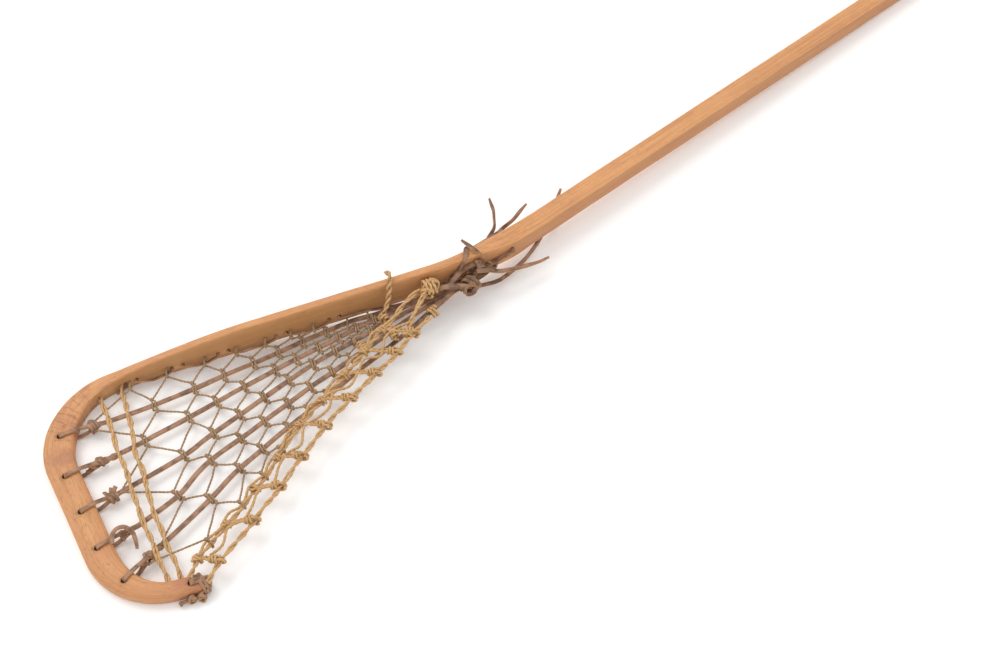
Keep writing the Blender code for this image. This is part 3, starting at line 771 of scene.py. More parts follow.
class CordSettings(bpy.types.PropertyGroup):
    twine: colour_setting("Twine", "Ridges of the twine", (0.47, 0.30, 0.165))
    # The twine's valley colour is painted shade between its plies, and also the colour of its soiled patches.
    twine_valley_shade_and_soil: colour_setting("Twine valleys", "Between the plies of the twine", (0.19, 0.11, 0.058))
    gut: colour_setting("Gut", "Ridges of the gut", (0.66, 0.395, 0.17))
    # The gut's valley colour is painted shade between its plies.
    gut_valley_shade: colour_setting("Gut valleys", "Between the plies of the gut", (0.31, 0.15, 0.055))
    gut_soiled: colour_setting("Soiled gut", "Handled patches", (0.52, 0.33, 0.155))
    twine_lay: length_setting("Twine lay", "Length in which the twine turns once", 7.0)
    gut_lay: length_setting("Gut lay", "Length in which the gut turns once", 19.0)


class StickSettings(bpy.types.PropertyGroup):
    stage: PointerProperty(type=StageSettings)
    wood: PointerProperty(type=WoodSettings)
    leather: PointerProperty(type=LeatherSettings)
    cords: PointerProperty(type=CordSettings)


class StickOperator:
    """What the operators share: the settings, and finishes and trees that are made once."""
    bl_options = {"REGISTER", "UNDO"}
    made = {}

    def settings(self, context):
        return context.scene.lacrosse_stick

    def leather(self, context, age=0.25):
        name = f"leather_age_{round(age * 100)}"
        if name not in self.made:
            self.made[name] = leather_finish(name, self.settings(context).leather, age)
        return self.made[name]

    def twine(self, context):
        if "twine" not in self.made:
            c = self.settings(context).cords
            self.made["twine"] = cord_finish("brown_twine", c.twine, c.twine_valley_shade_and_soil, c.twine_valley_shade_and_soil, 2, 0.6,
                                             0.35, 0.5)
        return self.made["twine"]

    def gut(self, context):
        if "gut" not in self.made:
            c = self.settings(context).cords
            self.made["gut"] = cord_finish("golden_gut", c.gut, c.gut_valley_shade, c.gut_soiled, 2, 0.38, 0.45, 0.35)
        return self.made["gut"]

    def tree(self):
        if "tree" not in self.made:
            self.made["tree"] = laid_cord_tree()
        return self.made["tree"]


# ---------------------------------------------------------------- stage

def area_light(name, place, aim, size, power, colour):
    data = bpy.data.lights.new(name, "AREA")
    data.shape = "DISK"
    data.size = size
    data.energy = power
    data.color = colour
    lamp = bpy.data.objects.new(name, data)
    lamp.location = place
    lamp.rotation_euler = (Vector(aim) - Vector(place)).to_track_quat("-Z", "Y").to_euler()
    bpy.context.scene.collection.objects.link(lamp)
    return lamp


class STICK_OT_stage(StickOperator, bpy.types.Operator):
    """Make the camera, the soft lights and the pale floor"""
    bl_idname = "stick.stage"
    bl_label = "Stage"

    def execute(self, context):
        s = self.settings(context).stage
        scene = context.scene
        camera_data = bpy.data.cameras.new("camera")
        camera_data.lens = s.lens
        camera_data.sensor_width = 36.0
        camera_data.clip_end = 50.0
        camera = bpy.data.objects.new("camera", camera_data)
        camera.location = (0.71484, 0.77288, 1.31064)
        aim = Vector((0.11696, 0.07663, 0.0))
        camera.rotation_euler = (aim - camera.location).to_track_quat("-Z", "Y").to_euler()
        scene.collection.objects.link(camera)
        scene.camera = camera
        world = bpy.data.worlds.new("studio")
        world.use_nodes = True
        sky = world.node_tree.nodes["Background"]
        sky.inputs["Color"].default_value = (1.0, 1.0, 1.0, 1)
        sky.inputs["Strength"].default_value = s.sky
        scene.world = world
        scene.view_settings.view_transform = "Standard"
        area_light("key", (0.60, -3.00, 4.40), (0.10, 0.0, 0.0), 3.2, s.key, (1.0, 0.99, 0.97))
        mesh = bpy.data.meshes.new("floor")
        half = 6.0
        mesh.from_pydata([(-half, -half, 0), (half, -half, 0), (half, half, 0), (-half, half, 0)], [],
                         [(0, 1, 2, 3)])
        f = Finish("pale_table", IOR=1.3)
        f.shader.inputs["Specular IOR Level"].default_value = 0.1
        f.shader.inputs["Emission Color"].default_value = (1, 1, 1, 1)
        f.shader.inputs["Emission Strength"].default_value = 0.08
        where = f.put("TexCoord", output=3)
        tooth = f.noise(where, 400.0, 2.0, 0.5)
        colour = f.mix(f.noise(where, 3.0, 2.0, 0.5), tone(s.floor, 1.0), tone(s.floor, 1.015))
        f.coat(colour, 0.75 + 0.1 * tooth, tooth, 0.00002)
        mesh.materials.append(f.material)
        floor = bpy.data.objects.new("floor", mesh)
        scene.collection.objects.link(floor)
        return {"FINISHED"}


# ---------------------------------------------------------------- loose ends

class STICK_OT_loose_ends(StickOperator, bpy.types.Operator):
    """Make the loose ends of leather at the throat and the hooked end at the scoop"""
    bl_idname = "stick.loose_ends"
    bl_label = "Loose Ends"

    def execute(self, context):
        rolls = (1.0, 0.7, 0.15, 0.5, 0.7)
        widths = (3.6, 3.8, 4.6, 4.0, 4.0)
        for k, route in enumerate(LOOSE_ENDS):
            self.loose(context, f"loose_end_{k + 1}", route, widths[k], rolls[k], 3.0 + k)
        self.loose(context, "thong_4_hooked_end", HOOKED_END, 4.0, 0.0, 9.0)
        return {"FINISHED"}

    def loose(self, context, node, route, width, lean, seed):
        line = smooth_route(route, 3.0)
        run = sum((b - a).length for a, b in zip(line, line[1:]))

        def roll(at_run):
            return lean * math.sin(math.pi * min(1.0, at_run / run) * 1.3)

        point, narrowing = (26.0, 0.6) if 70 < run < 100 else (10.0, 0.35)

        def taper(at_run):
            return 1.0 - narrowing * max(0.0, (at_run - run + point) / point)

        obj = strap(node + "_strap", [(even(line, 1.0), width, width * 0.42, roll, seed, taper)],
                    self.leather(context, 0.2))
        stands_for(obj, "leather", node)
        tuple(line[0] * MM)


# ---------------------------------------------------------------- wood frame

def ring_at(s, inset, flat_points):
    """Points round the frame's section, with the small unevenness of a hand-shaved face."""
    width, height, corner, _, under = section(s)
    half_w, half_h = width / 2 - inset, height / 2 - inset
    corner = max(corner - inset, 0.8)
    spots = []
    for quarter in range(4):
        sx, sz = ((1, 1), (-1, 1), (-1, -1), (1, -1))[quarter]
        for step in range(6):
            angle = math.radians(90 * quarter + 18 * step)
            spots.append((sx * (half_w - corner) + corner * math.cos(angle),
                          sz * (half_h - corner) + corner * math.sin(angle)))
        nx, nz = ((-1, 1), (-1, -1), (1, -1), (1, 1))[quarter]
        angle = math.radians(90 * (quarter + 1))
        next_spot = (nx * (half_w - corner) + corner * math.cos(angle),
                     nz * (half_h - corner) + corner * math.sin(angle))
        last = spots[-1]
        for k in range(1, flat_points + 1):
            t = k / (flat_points + 1)
            spots.append((last[0] + (next_spot[0] - last[0]) * t, last[1] + (next_spot[1] - last[1]) * t))
    ring = []
    for across, up in spots:
        bulge = 0.28 * noise.noise(Vector((s / 55, across / 14, up / 14))) - 0.1
        bulge += 0.10 * noise.noise(Vector((s / 13, across / 9, up / 9 + 5)))
        out = Vector((across / half_w, up / half_h)).normalized() * bulge
        ring.append(at(s, across + out.x, max(0.0, under + height / 2 + up + out.y)))
    return ring


def frame_stations(step):
    def end_inset(distance, radius):
        gap = max(0.0, radius - distance)
        return radius - math.sqrt(max(0.0, radius ** 2 - gap ** 2))

    stops = [(d, end_inset(d, 2.2)) for d in (0.0, 0.15, 0.6, 1.3, 2.2)]
    stops += [(s, 0.0) for s in np.arange(8, 560, 8.0)]
    stops += [(s, 0.0) for s in np.arange(562, S_END - 5.5, step)]
    stops += [(S_END - d, end_inset(d, 4.5)) for d in (4.5, 3.2, 2.0, 1.1, 0.45, 0.1)]
    return stops


def rod(start, end, radius, sides=28):
    axis = (end - start).normalized()
    side = axis.orthogonal().normalized()
    other = axis.cross(side)
    spokes = [side * (radius * math.cos(2 * math.pi * k / sides))
              + other * (radius * math.sin(2 * math.pi * k / sides))
              for k in range(sides)]
    return [[start + o for o in spokes], [end + o for o in spokes]]


def frame_cuts():
    """Closed ring pairs of the bored holes, then of the grooves under the scoop."""
    up = Vector((0, 0, 1))
    shapes = [rod(scoop_line(k)[0] - up * 2, scoop_line(k)[0] + up * 20, THONG_HOLE_R) for k in range(5)]
    tip = at(S_END - 11, 0, 0)
    shapes.append(rod(tip - up * 2, tip + up * 20, THONG_HOLE_R))
    for s in RAIL_HOLES_S:
        for shift in (0, STITCH):
            z = lace_height(s + shift)
            shapes.append(rod(at(s + shift, -12, z), at(s + shift, 12, z), LACE_HOLE_R))
    shapes += [rod(inner_face(s, -8, z), inner_face(s, 5, z), GUT_HOLE_R) for s, z in STRING_ENDS]
    shapes += [rod(at(s, -20, z), at(s, 20, z), THONG_HOLE_R) for s, z in THROAT_HOLES]
    grooves = []
    for k in range(5):
        hole, line, wood = scoop_line(k)
        side = Vector((-line.y, line.x, 0)) * (GROOVE_WIDTH / 2)
        top, low = up * GROOVE_DEPTH, up * -1
        grooves.append([[hole + line * reach + o for o in (side + top, top - side, low - side, side + low)]
                        for reach in (0, wood + 8)])
    return shapes, grooves


def skin(name, shapes):
    """A mesh of closed lofts over rings in millimetres."""
    bm = bmesh.new()
    for rings in shapes:
        rows = [[bm.verts.new(p * MM) for p in ring] for ring in rings]
        count = len(rows[0])
        for low, high in zip(rows, rows[1:]):
            for k in range(count):
                m = (k + 1) % count
                bm.faces.new((low[k], low[m], high[m], high[k]))
        bm.faces.new(rows[0][::-1])
        bm.faces.new(rows[-1])
    bmesh.ops.recalc_face_normals(bm, faces=bm.faces[:])
    mesh = bpy.data.meshes.new(name)
    bm.to_mesh(mesh)
    bm.free()
    return mesh


def mark_grain(mesh):
    """Stores where each point lies in the straightened stick, and three masks: the rail's inner face
    (handling stains plus painted shade), the corners (edge wear plus painted highlight), and dirt round the
    holes that also darkens a band along the bottom of the rail's inner face.
    """
    stations = np.arange(0, S_END + 0.01, 1.0)
    rows = [(*edge_at(s), *section(s)) for s in stations]
    table = np.array(rows)
    x, y, heading, width, height, _, middle, under = table.T
    centre = np.stack([x - middle * np.sin(heading), y + middle * np.cos(heading)], axis=1)
    inward = np.stack([-np.sin(heading), np.cos(heading)], axis=1)
    co = np.zeros(len(mesh.vertices) * 3)
    mesh.vertices.foreach_get("co", co)
    co = co.reshape(-1, 3) / MM
    spots = [np.array(scoop_line(k)[0])[:2] for k in range(5)] + [np.array(at(S_END - 11, 0, 0))[:2]]
    grain = np.zeros((len(co), 3), np.float32)
    wear = np.zeros((len(co), 3), np.float32)
    for i, (px, py, pz) in enumerate(co):
        k = int(np.argmin((centre[:, 0] - px) ** 2 + (centre[:, 1] - py) ** 2))
        off = np.array((px, py)) - centre[k]
        across = float(off @ inward[k])
        ahead = float(off @ np.array((inward[k][1], -inward[k][0])))
        up = pz - under[k] - height[k] / 2
        grain[i] = ((stations[k] + ahead) * MM, across * MM, up * MM)
        u, v = across / (width[k] / 2), abs(up) / (height[k] / 2)
        # face: the rail's inner face, which gets handling stains plus painted shade.
        face = min(1.0, max(0.0, (u - 0.55) / 0.4)) * min(1.0, max(0.0, (0.99 - v) / 0.06))
        in_rail = min(1.0, max(0.0, (stations[k] - 690) / 60)) * min(1.0, max(0.0, (1085 - stations[k]) / 60))
        # corner: the section's corners, for edge wear and a painted highlight.
        corner = min(1.0, max(0.0, (min(abs(u), v) - 0.86) / 0.1))
        near = min(float(np.hypot(*(spot - (px, py)))) for spot in spots)
        low = min(1.0, max(0.0, (6 - (pz - under[k])) / 5)) * in_rail * max(0.0, min(1.0, u))
        dirt = max(0.9 * math.exp(-max(0.0, near - 2.5) / 0.8), 0.55 * low)
        wear[i] = (face * in_rail, corner, dirt)
    mesh.attributes.new("grain", "FLOAT_VECTOR", "POINT").data.foreach_set("vector", grain.ravel())
    mesh.attributes.new("wear", "FLOAT_VECTOR", "POINT").data.foreach_set("vector", wear.ravel())


class STICK_OT_frame(StickOperator, bpy.types.Operator):
    """Make the one-piece bent ash frame with its bored holes"""
    bl_idname = "stick.frame"
    bl_label = "Wood Frame"

    def execute(self, context):
        wood = self.settings(context).wood
        rings = [ring_at(s, inset, wood.around) for s, inset in frame_stations(wood.step / MM)]
        blank = bpy.data.objects.new("frame_blank", skin("frame_blank", [rings]))
        context.scene.collection.objects.link(blank)
        cutters = []
        for name, shapes in zip(("holes", "grooves"), frame_cuts()):
            cutter = bpy.data.objects.new(name, skin(name, shapes))
            context.scene.collection.objects.link(cutter)
            cutters.append(cutter)
            cut = blank.modifiers.new(name, "BOOLEAN")
            cut.operation, cut.solver, cut.object = "DIFFERENCE", "EXACT", cutter
        context.view_layer.update()
        graph = context.evaluated_depsgraph_get()
        mesh = bpy.data.meshes.new_from_object(blank.evaluated_get(graph))
        for obj in (blank, *cutters):
            bpy.data.objects.remove(obj, do_unlink=True)
        mark_grain(mesh)
        obj = finished("ash_frame", mesh, ash_finish("oiled_ash", wood), 32)
        stands_for(obj, "ash_wood", "wood_frame")
        return {"FINISHED"}


# ---------------------------------------------------------------- thongs and hitches

def thong_points(k):
    """The whole run of a thong: throat, net, over the scoop, down its hole and back underneath."""
    hole, line, wood = scoop_line(k)
    top = SCOOP_HEIGHT + GAP + THONG[1] / 2
    run = [Vector(p) for p in THONG_ROUTES[k]]
    ends = []
    if k < 3:
        s, z = THROAT_HOLES[k]
        ends = [at(s, -section(s)[0] / 2 - 3, z), inner_face(s, THONG[0] / 2 + 2 * GAP, z)]
    tail = [hole + line * (wood + 1.5) + Vector((0, 0, top)), hole + Vector((0, 0, top)),
            hole + Vector((0, 0, LEG_LOW)), hole + line * (wood + 3) + Vector((0, 0, LEG_LOW)),
            hole + line * (wood + 18) + Vector((0, 0, LEG_END))]
    middle = smooth_route(run, 4.0)
    middle = waver(middle, 0.9, 38, 2.0 * k)
    return rounded(ends + middle + tail, 2.6, 1.3)


def hitch_centre(k):
    """Middle, direction and half height of the place where both legs of thong k are tied together."""
    hole, line, wood = scoop_line(k)
    last = Vector(THONG_ROUTES[k][-1])
    reach = (Vector((last.x, last.y, 0)) - hole).length
    top = SCOOP_HEIGHT + GAP + THONG[1] / 2
    upper = top + (last.z - top) * (HITCH_IN - 1.5) / (reach - wood - 1.5)
    lower = LEG_LOW + (LEG_END - LEG_LOW) * (HITCH_IN - 3) / 15
    centre = hole + line * (wood + HITCH_IN) + Vector((0, 0, (upper + lower) / 2))
    return centre, line, (upper - lower) / 2


class STICK_OT_thongs(StickOperator, bpy.types.Operator):
    """Make the five long leather thongs"""
    bl_idname = "stick.thongs"
    bl_label = "Thongs"

    def execute(self, context):
        leather = self.settings(context).leather
        width, thickness = leather.width / MM, leather.thickness / MM
        for k in range(5):
            points = thong_points(k)
            total = sum((b - a).length for a, b in zip(points, points[1:]))

            def roll(run, k=k):
                return 0.34 * noise.noise(Vector((run / 45, 4.0 * k, 1)))

            def taper(run, total=total):
                left = total - run
                return 0.92 - 0.18 * min(1.0, max(0.0, (78 - left) / 14))

            obj = strap(f"thong_{k + 1}_strap", [(points, width, thickness, roll, 11.0 * k, taper)],
                        self.leather(context, 0.25))
            stands_for(obj, "leather", f"thong_{k + 1}")
        return {"FINISHED"}


class STICK_OT_hitches(StickOperator, bpy.types.Operator):
    """Make the leather hitches that tie each thong to itself inside the scoop"""
    bl_idname = "stick.hitches"
    bl_label = "Scoop Hitches"

    def execute(self, context):
        makers = (self.lump, self.braid, self.bow, self.wrap, self.braid)
        for k, maker in enumerate(makers):
            centre, line, half = hitch_centre(k)
            side = Vector((-line.y, line.x, 0))
            runs = [(even(points, 0.9), width, width * 0.45, roll, 21.0 + k + i)
                    for i, (points, width, roll) in enumerate(maker(centre, line, side, half))]
            obj = strap(f"scoop_hitch_{k + 1}_strap", runs, self.leather(context, 0.6))
            stands_for(obj, "leather", f"scoop_hitch_{k + 1}")
        return {"FINISHED"}

    def lump(self, centre, line, side, half):
        """Three turns and a crossing loop, pulled into a lump."""
        up = Vector((0, 0, 1))
        at_knot = centre + line * 1
        return [
            (coil(at_knot, line + side * 0.35, side, 4.6, half + 2.4, 2.4, 3.2, 16, 0.6), 3.2, 0.0),
            (coil(at_knot + side * 2.2, side + line * 0.5, line, 4.4, half + 2.6, 1.2, 2.0, 16, 2.2), 2.9,
             0.4),
            (coil(at_knot + side * 3.8 + up * 1.5, up + line * 0.3, line, 2.8, 3.4, 1.0, 1.5, 14, 0.3),
             2.7, 0.2),
        ]

    def braid(self, centre, line, side, half):
        """The two legs twisted about each other, then one small knot."""
        twist = []
        for offset in (0.0, math.pi):
            pts = []
            for i in range(45):
                t = i / 44
                angle = offset + 2 * math.pi * 1.8 * t
                reach = 2.5 - 1.1 * t
                pts.append(centre + line * (-9 + 31 * t) + side * (reach * math.cos(angle))
                           + Vector((0, 0, reach * math.sin(angle) + (1 - t) * 0.5)))
            twist.append((pts, 3.4, 0.3))
        knot = coil(centre + line * 7 + side * 1.0, line + side * 0.6, side, 3.9, half + 1.4, 1.7, 2.6,
                    16, 1.0)
        loop = coil(centre + line * 5 + side * 3.6, Vector((0, 0, 1)) + line * 0.4, line, 2.2, 3.0, 0.9,
                    1.2, 14, 0.4)
        return twist + [(knot, 2.8, 0.1), (loop, 2.4, 0.2)]

    def bow(self, centre, line, side, half):
        """Two turns, with the flat ends left standing out."""
        up = Vector((0, 0, 1))
        turns = coil(centre + line * 2, line + side * 0.4, side, 4.4, half + 2.2, 2.1, 3.4, 16, 0.6)
        tabs = []
        for reach, out, lift in ((5, 7, 2.5), (9, 5.5, 3.5), (-2, 7.5, 1.0)):
            root = centre + line * (reach * 0.4) + up * (half + 0.8)
            tip = centre + line * reach + side * (out * 0.85) + up * (half + lift)
            tabs.append(([root, root.lerp(tip, 0.5) + up * 1.2, tip], 3.8, 0.5))
        low = coil(centre + line * 6 - side * 1.5, line, side, 3.6, half + 1.6, 1.1, 1.5, 16, 2.0)
        return [(turns, 3.2, 0.0), (low, 2.8, 0.0)] + tabs

    def wrap(self, centre, line, side, half):
        """A plain turn and a half round both legs."""
        return [(coil(centre - line * 4, line + side * 0.2, side, 3.9, half + 1.9, 1.4, 3.2, 16, 0.6),
                 3.0, 0.0)]


# ---------------------------------------------------------------- rail lace

def rail_lace_route():
    """The lace's inside runs."""
    pts = [inner_face(LACE_START_S, 3.2, lace_height(LACE_START_S))]
    for s in RAIL_HOLES_S[::-1]:
        z = lace_height(s)
        pts += [inner_face(s - 4, 3.2, z), inner_face(s - 1, 3.2, z)]
        pts += [inner_face(s + STITCH + 1, 3.2, z), inner_face(s + STITCH + 4, 3.2, z)]
    return pts


def rail_lace_points():
    pts = [inner_face(s, off, lace_height(s) + lift)
           for s, off, lift in ((690, 4.5, 3), (705, 5.5, -1), (722, 5.5, -4), (745, 5.0, -3),
                                (LACE_START_S, 3.2, 0))]
    for s in RAIL_HOLES_S[::-1]:
        if len(pts) > 5:
            pts.append(inner_face(s - 14, 4.4, lace_height(s) - 3.0))
        for shift, order in ((0, 1), (STITCH, -1)):
            z = lace_height(s + shift)
            pair = [inner_face(s + shift, 3.2, z), at(s + shift, -section(s)[0] / 2 - 1.3, z)]
            pts += pair[::order]
        pts.append(inner_face(s + STITCH + 12, 4.4, lace_height(s) - 3.0))
    pts.append(inner_face(RAIL_HOLES_S[0] + STITCH + 2, 3.2, lace_height(1000)))
    return pts


class STICK_OT_rail_lace(StickOperator, bpy.types.Operator):
    """Make the leather lace that is stitched along the rail"""
    bl_idname = "stick.rail_lace"
    bl_label = "Rail Lace"

    def execute(self, context):
        points = rounded(rail_lace_points(), 2.2, 1.0)

        def roll(run):
            return 0.7 + 0.3 * math.sin(run / 12)

        obj = strap("rail_lace_strap", [(points, 4.2, LACE[1], roll, 5.0)], self.leather(context, 0.4))
        stands_for(obj, "leather", "rail_lace")
        return {"FINISHED"}


# ---------------------------------------------------------------- twine

def turn_round(centre, direction, near, half_width, half_height, radius, shift):
    """Points that take a cord once round a strand: over it, down its far side and back underneath."""
    side = Vector((-direction.y, direction.x, 0)).normalized() * near
    far = half_width + radius + 1.1
    rise = half_height + radius + 0.25
    middle = centre + direction * shift
    lean = direction * (0.9 * near)
    up = Vector((0, 0, 1))
    return [middle + side * (far + 1.6) + up * (rise * 0.3) + lean,
            middle + side * (far * 0.72) + up * rise + lean,
            middle - side * (far * 0.72) + up * rise - lean, middle - side * far - lean,
            middle - side * (far * 0.72) - up * rise - lean, middle + side * (far * 0.72) - up * rise + lean,
            middle + side * (far + 1.6) - up * (rise * 0.3) + lean]


def little_knot(place, axis, radius, reach):
    """A small turn of the cord round itself beside a knot."""
    return coil(place, axis, (0, 0, 1), reach, reach * 0.85, 1.3, radius * 1.7, 12)


def zigzag(turns):
    """The turns in order along the head, leaving out any on the same strand as the one before."""
    points = []
    kept = []
    last = 0
    for x, near, pts in sorted(turns, key=lambda item: -item[0]):
        if near != last:
            points += pts
            kept.append((near, pts))
        last = near
    return points, kept


class STICK_OT_net(StickOperator, bpy.types.Operator):
    """Knot the six rows of twine between the rail lace, the thongs and the gut wall"""
    bl_idname = "stick.net"
    bl_label = "Twine Net"

    def execute(self, context):
        cords = self.settings(context).cords
        strands = [(rail_lace_route(), LACE[1] / 2, LACE[0] / 2, RAIL_KNOTS)]
        strands += [(r, THONG[0] / 2, THONG[1] / 2, x) for r, x in zip(THONG_ROUTES, THONG_KNOTS)]
        strands.append((WALL_INNER, GUT / 2, GUT / 2, WALL_KNOTS))
        tied = (0, 0, 2, 2, 4, 4)
        for k in range(6):
            turns = []
            for strand, near, shift in ((strands[k], 1, -1.2), (strands[k + 1], -1, 1.2)):
                route, half_w, half_h, knots = strand
                for x in knots:
                    centre, direction = along(route, x)
                    turns.append((x, near, turn_round(centre, direction, near, half_w, half_h, TWINE / 2,
                                                      shift)))
            points, kept = zigzag(turns)
            centre, line, half = hitch_centre(tied[k])
            side = Vector((-line.y, line.x, 0)) * (1 if k in (0, 3) else -1)
            start = [centre + side * 3.5 + Vector((0, 0, half + 1.5)), centre - line * 2 + side * 4.5,
                     centre + line * 3 + side * 5.0 + Vector((0, 0, 1))]
            runs = [waver(rounded(start + points, 2.4, 0.9), 0.8, 11, 1.0 + k)]
            for near, pts in kept:
                away = (pts[0] - pts[3]).normalized()
                place = (pts[0] + pts[-1]) / 2 + away * 0.3
                runs.append(little_knot(place, away.cross(Vector((0, 0, 1))) + away * 0.4, TWINE / 2, 1.6))
            obj = laid_cord(f"twine_row_{k + 1}_cord", runs, self.tree(), self.twine(context), TWINE, 2, 0.12,
                            cords.twine_lay / MM, 0.7, 10)
            stands_for(obj, "twine", f"twine_row_{k + 1}")
        return {"FINISHED"}


# ---------------------------------------------------------------- gut

def two_ply(line, twist, spread, seed):
    """The middles of two plies that are loosely and unevenly twisted about a line."""
    frames = level_frames(line)
    plies = []
    for offset in (0.0, math.pi):
        pts = []
        run = 0.0
        for i, (p, (_, side, top)) in enumerate(zip(line, frames)):
            if i:
                run += (p - line[i - 1]).length
            angle = offset + 2 * math.pi * run / twist + 1.3 * noise.noise(Vector((run / 24, seed, 0)))
            reach = spread * (1 + 0.5 * noise.noise(Vector((run / 19, seed, 4))))
            pts.append(p + side * (reach * math.cos(angle)) + top * (0.8 * reach * math.sin(angle)))
        plies.append(even(pts, 1.0))
    return plies


class STICK_OT_shooting_strings(StickOperator, bpy.types.Operator):
    """Make the two twisted gut strings that cross the head near the scoop"""
    bl_idname = "stick.shooting_strings"
    bl_label = "Shooting Strings"

    def execute(self, context):
        ends = [inner_face(s, -6, z) for s, z in STRING_ENDS]
        mouths = [inner_face(s, 5, z) for s, z in STRING_ENDS]
        first = [(458, -80, 14.3), (463, -66, 14.5), (472, -38, 14.5), (486, 7, 14.5), (500, 55, 14.5),
                 (503, 66, 15)]
        second = [(443, -68, 14), (456, -38, 13.5), (476, 15, 13.5), (490, 62, 14.5)]
        for k, middle in enumerate((first, second)):
            route = rounded([ends[k], mouths[k]] + middle + [mouths[k + 2], ends[k + 2]], 6.0, 2.0)
            runs = two_ply(waver(route, 2.0, 20, 6.0 + k), 42.0 - 8 * k, 1.35, 30.0 + k)
            obj = laid_cord(f"shooting_string_{k + 1}_cord", runs, self.tree(), self.gut(context), 3.0, 2,
                            0.1,
                            11.0, 0.8, 12)
            stands_for(obj, "gut", f"shooting_string_{k + 1}")
        return {"FINISHED"}


class STICK_OT_gut_wall(StickOperator, bpy.types.Operator):
    """Make the knotted gut wall along the open side of the head"""
    bl_idname = "stick.gut_wall"
    bl_label = "Gut Wall"

    def execute(self, context):
        tree, gut = self.tree(), self.gut(context)
        for name, route, seed in (("gut_wall_inner", WALL_INNER, 3.0), ("gut_wall_outer", WALL_OUTER, 8.0)):
            line = waver(smooth_route(route, 2.0), 1.2, 20, seed)
            obj = laid_cord(name + "_cord", two_ply(line, 34.0, 1.35, seed), tree, gut, GUT_PLY, 2, 0.1,
                            12.0, 0.9, 12)
            stands_for(obj, "gut", name)
        runs = []
        for k, (xi, xo) in enumerate(zip(LATTICE_INNER, LATTICE_OUTER)):
            runs += self.link(k, xi, xo)
        runs += self.chain()
        runs.append(even(coil((163, 33.5, 27.5), (1, 0.05, -0.1), (0, 0, 1), 4.6, 5.0, 2.4, 3.3, 16), 0.8))
        runs.append(even(coil((238, 22, 26), (0.1, 1, 0.1), (0, 0, 1), 3.6, 3.6, 4.2, 2.9, 14), 0.8))
        obj = laid_cord("gut_wall_lattice_cord", runs, tree, gut, GUT_THIN, 2, 0.12, 9.0, 0.7, 10)
        stands_for(obj, "gut", "gut_wall_lattice")
        return {"FINISHED"}

    def link(self, k, xi, xo):
        """One link of the wall: a loop round each strand and a tightly wrapped shank between them."""
        pi, di = along(WALL_INNER, xi)
        po, do = along(WALL_OUTER, xo)
        up = Vector((0, 0, 1))
        span = po - pi
        reach = span.length
        across = span.normalized()
        turn = 0.8 * math.sin(3.1 * k)
        outer = coil(po, do + across * 0.4, up, 4.3, 4.4, 1.5, 2.9, 14, 0.9 * k)
        inner = coil(pi, di - across * 0.3, up, 4.1, 4.0, 1.3, 2.8, 14, 1.7 * k)
        shank = coil(po - across * 5.6 + up * 2.2, across + do * 0.35 * turn, up, 2.9, 2.9, 2.6, 2.7, 14, k)
        start = po - across * 2 + up * 2.4
        leg = [start, pi + across * (0.55 * reach) + up * 3.2 + di * (2.0 + turn), pi + across * 4 + up * 2.6]
        back = [start - do * 2, pi + across * (0.5 * reach) + up * 1.2 - di * 2.4,
                pi + across * 3.5 - di * 2 + up]
        bight = [pi + across * 3 + up * 2, pi - across * 2.5 + up * 3.4 + di * 3.2,
                 pi - across * 5.5 + up * 1.2,
                 pi - across * 2.8 + up * 3.0 - di * 3.4, pi + across * 2 + up * 2.2 - di * 1.5]
        return ([even(c, 0.8) for c in (outer, inner, shank)]
                + [rounded(r, 3.5, 0.9) for r in (leg, back, bight)])

    def chain(self):
        """The slack cord that runs from knot to knot beside the inner strand."""
        pts = []
        for i, x in enumerate(np.arange(484, 196, -9.0)):
            p, d = along(WALL_INNER, x)
            out = Vector((-d.y, d.x, 0)).normalized()
            pts.append(p + out * (-3.4 + 1.9 * math.sin(1.9 * i))
                       + Vector((0, 0, 1.8 * math.cos(1.3 * i) + 1)))
        other = []
        for i, x in enumerate(np.arange(470, 176, -14.0)):
            p, _ = along(WALL_INNER, x)
            q, _ = along(WALL_OUTER, x)
            other.append(p.lerp(q, 0.42 + 0.22 * math.sin(2.3 * i)) + Vector((0, 0, 2.2)))
        return [even(smooth_route(pts, 2.0), 0.9), even(smooth_route(other, 2.0), 0.9)]


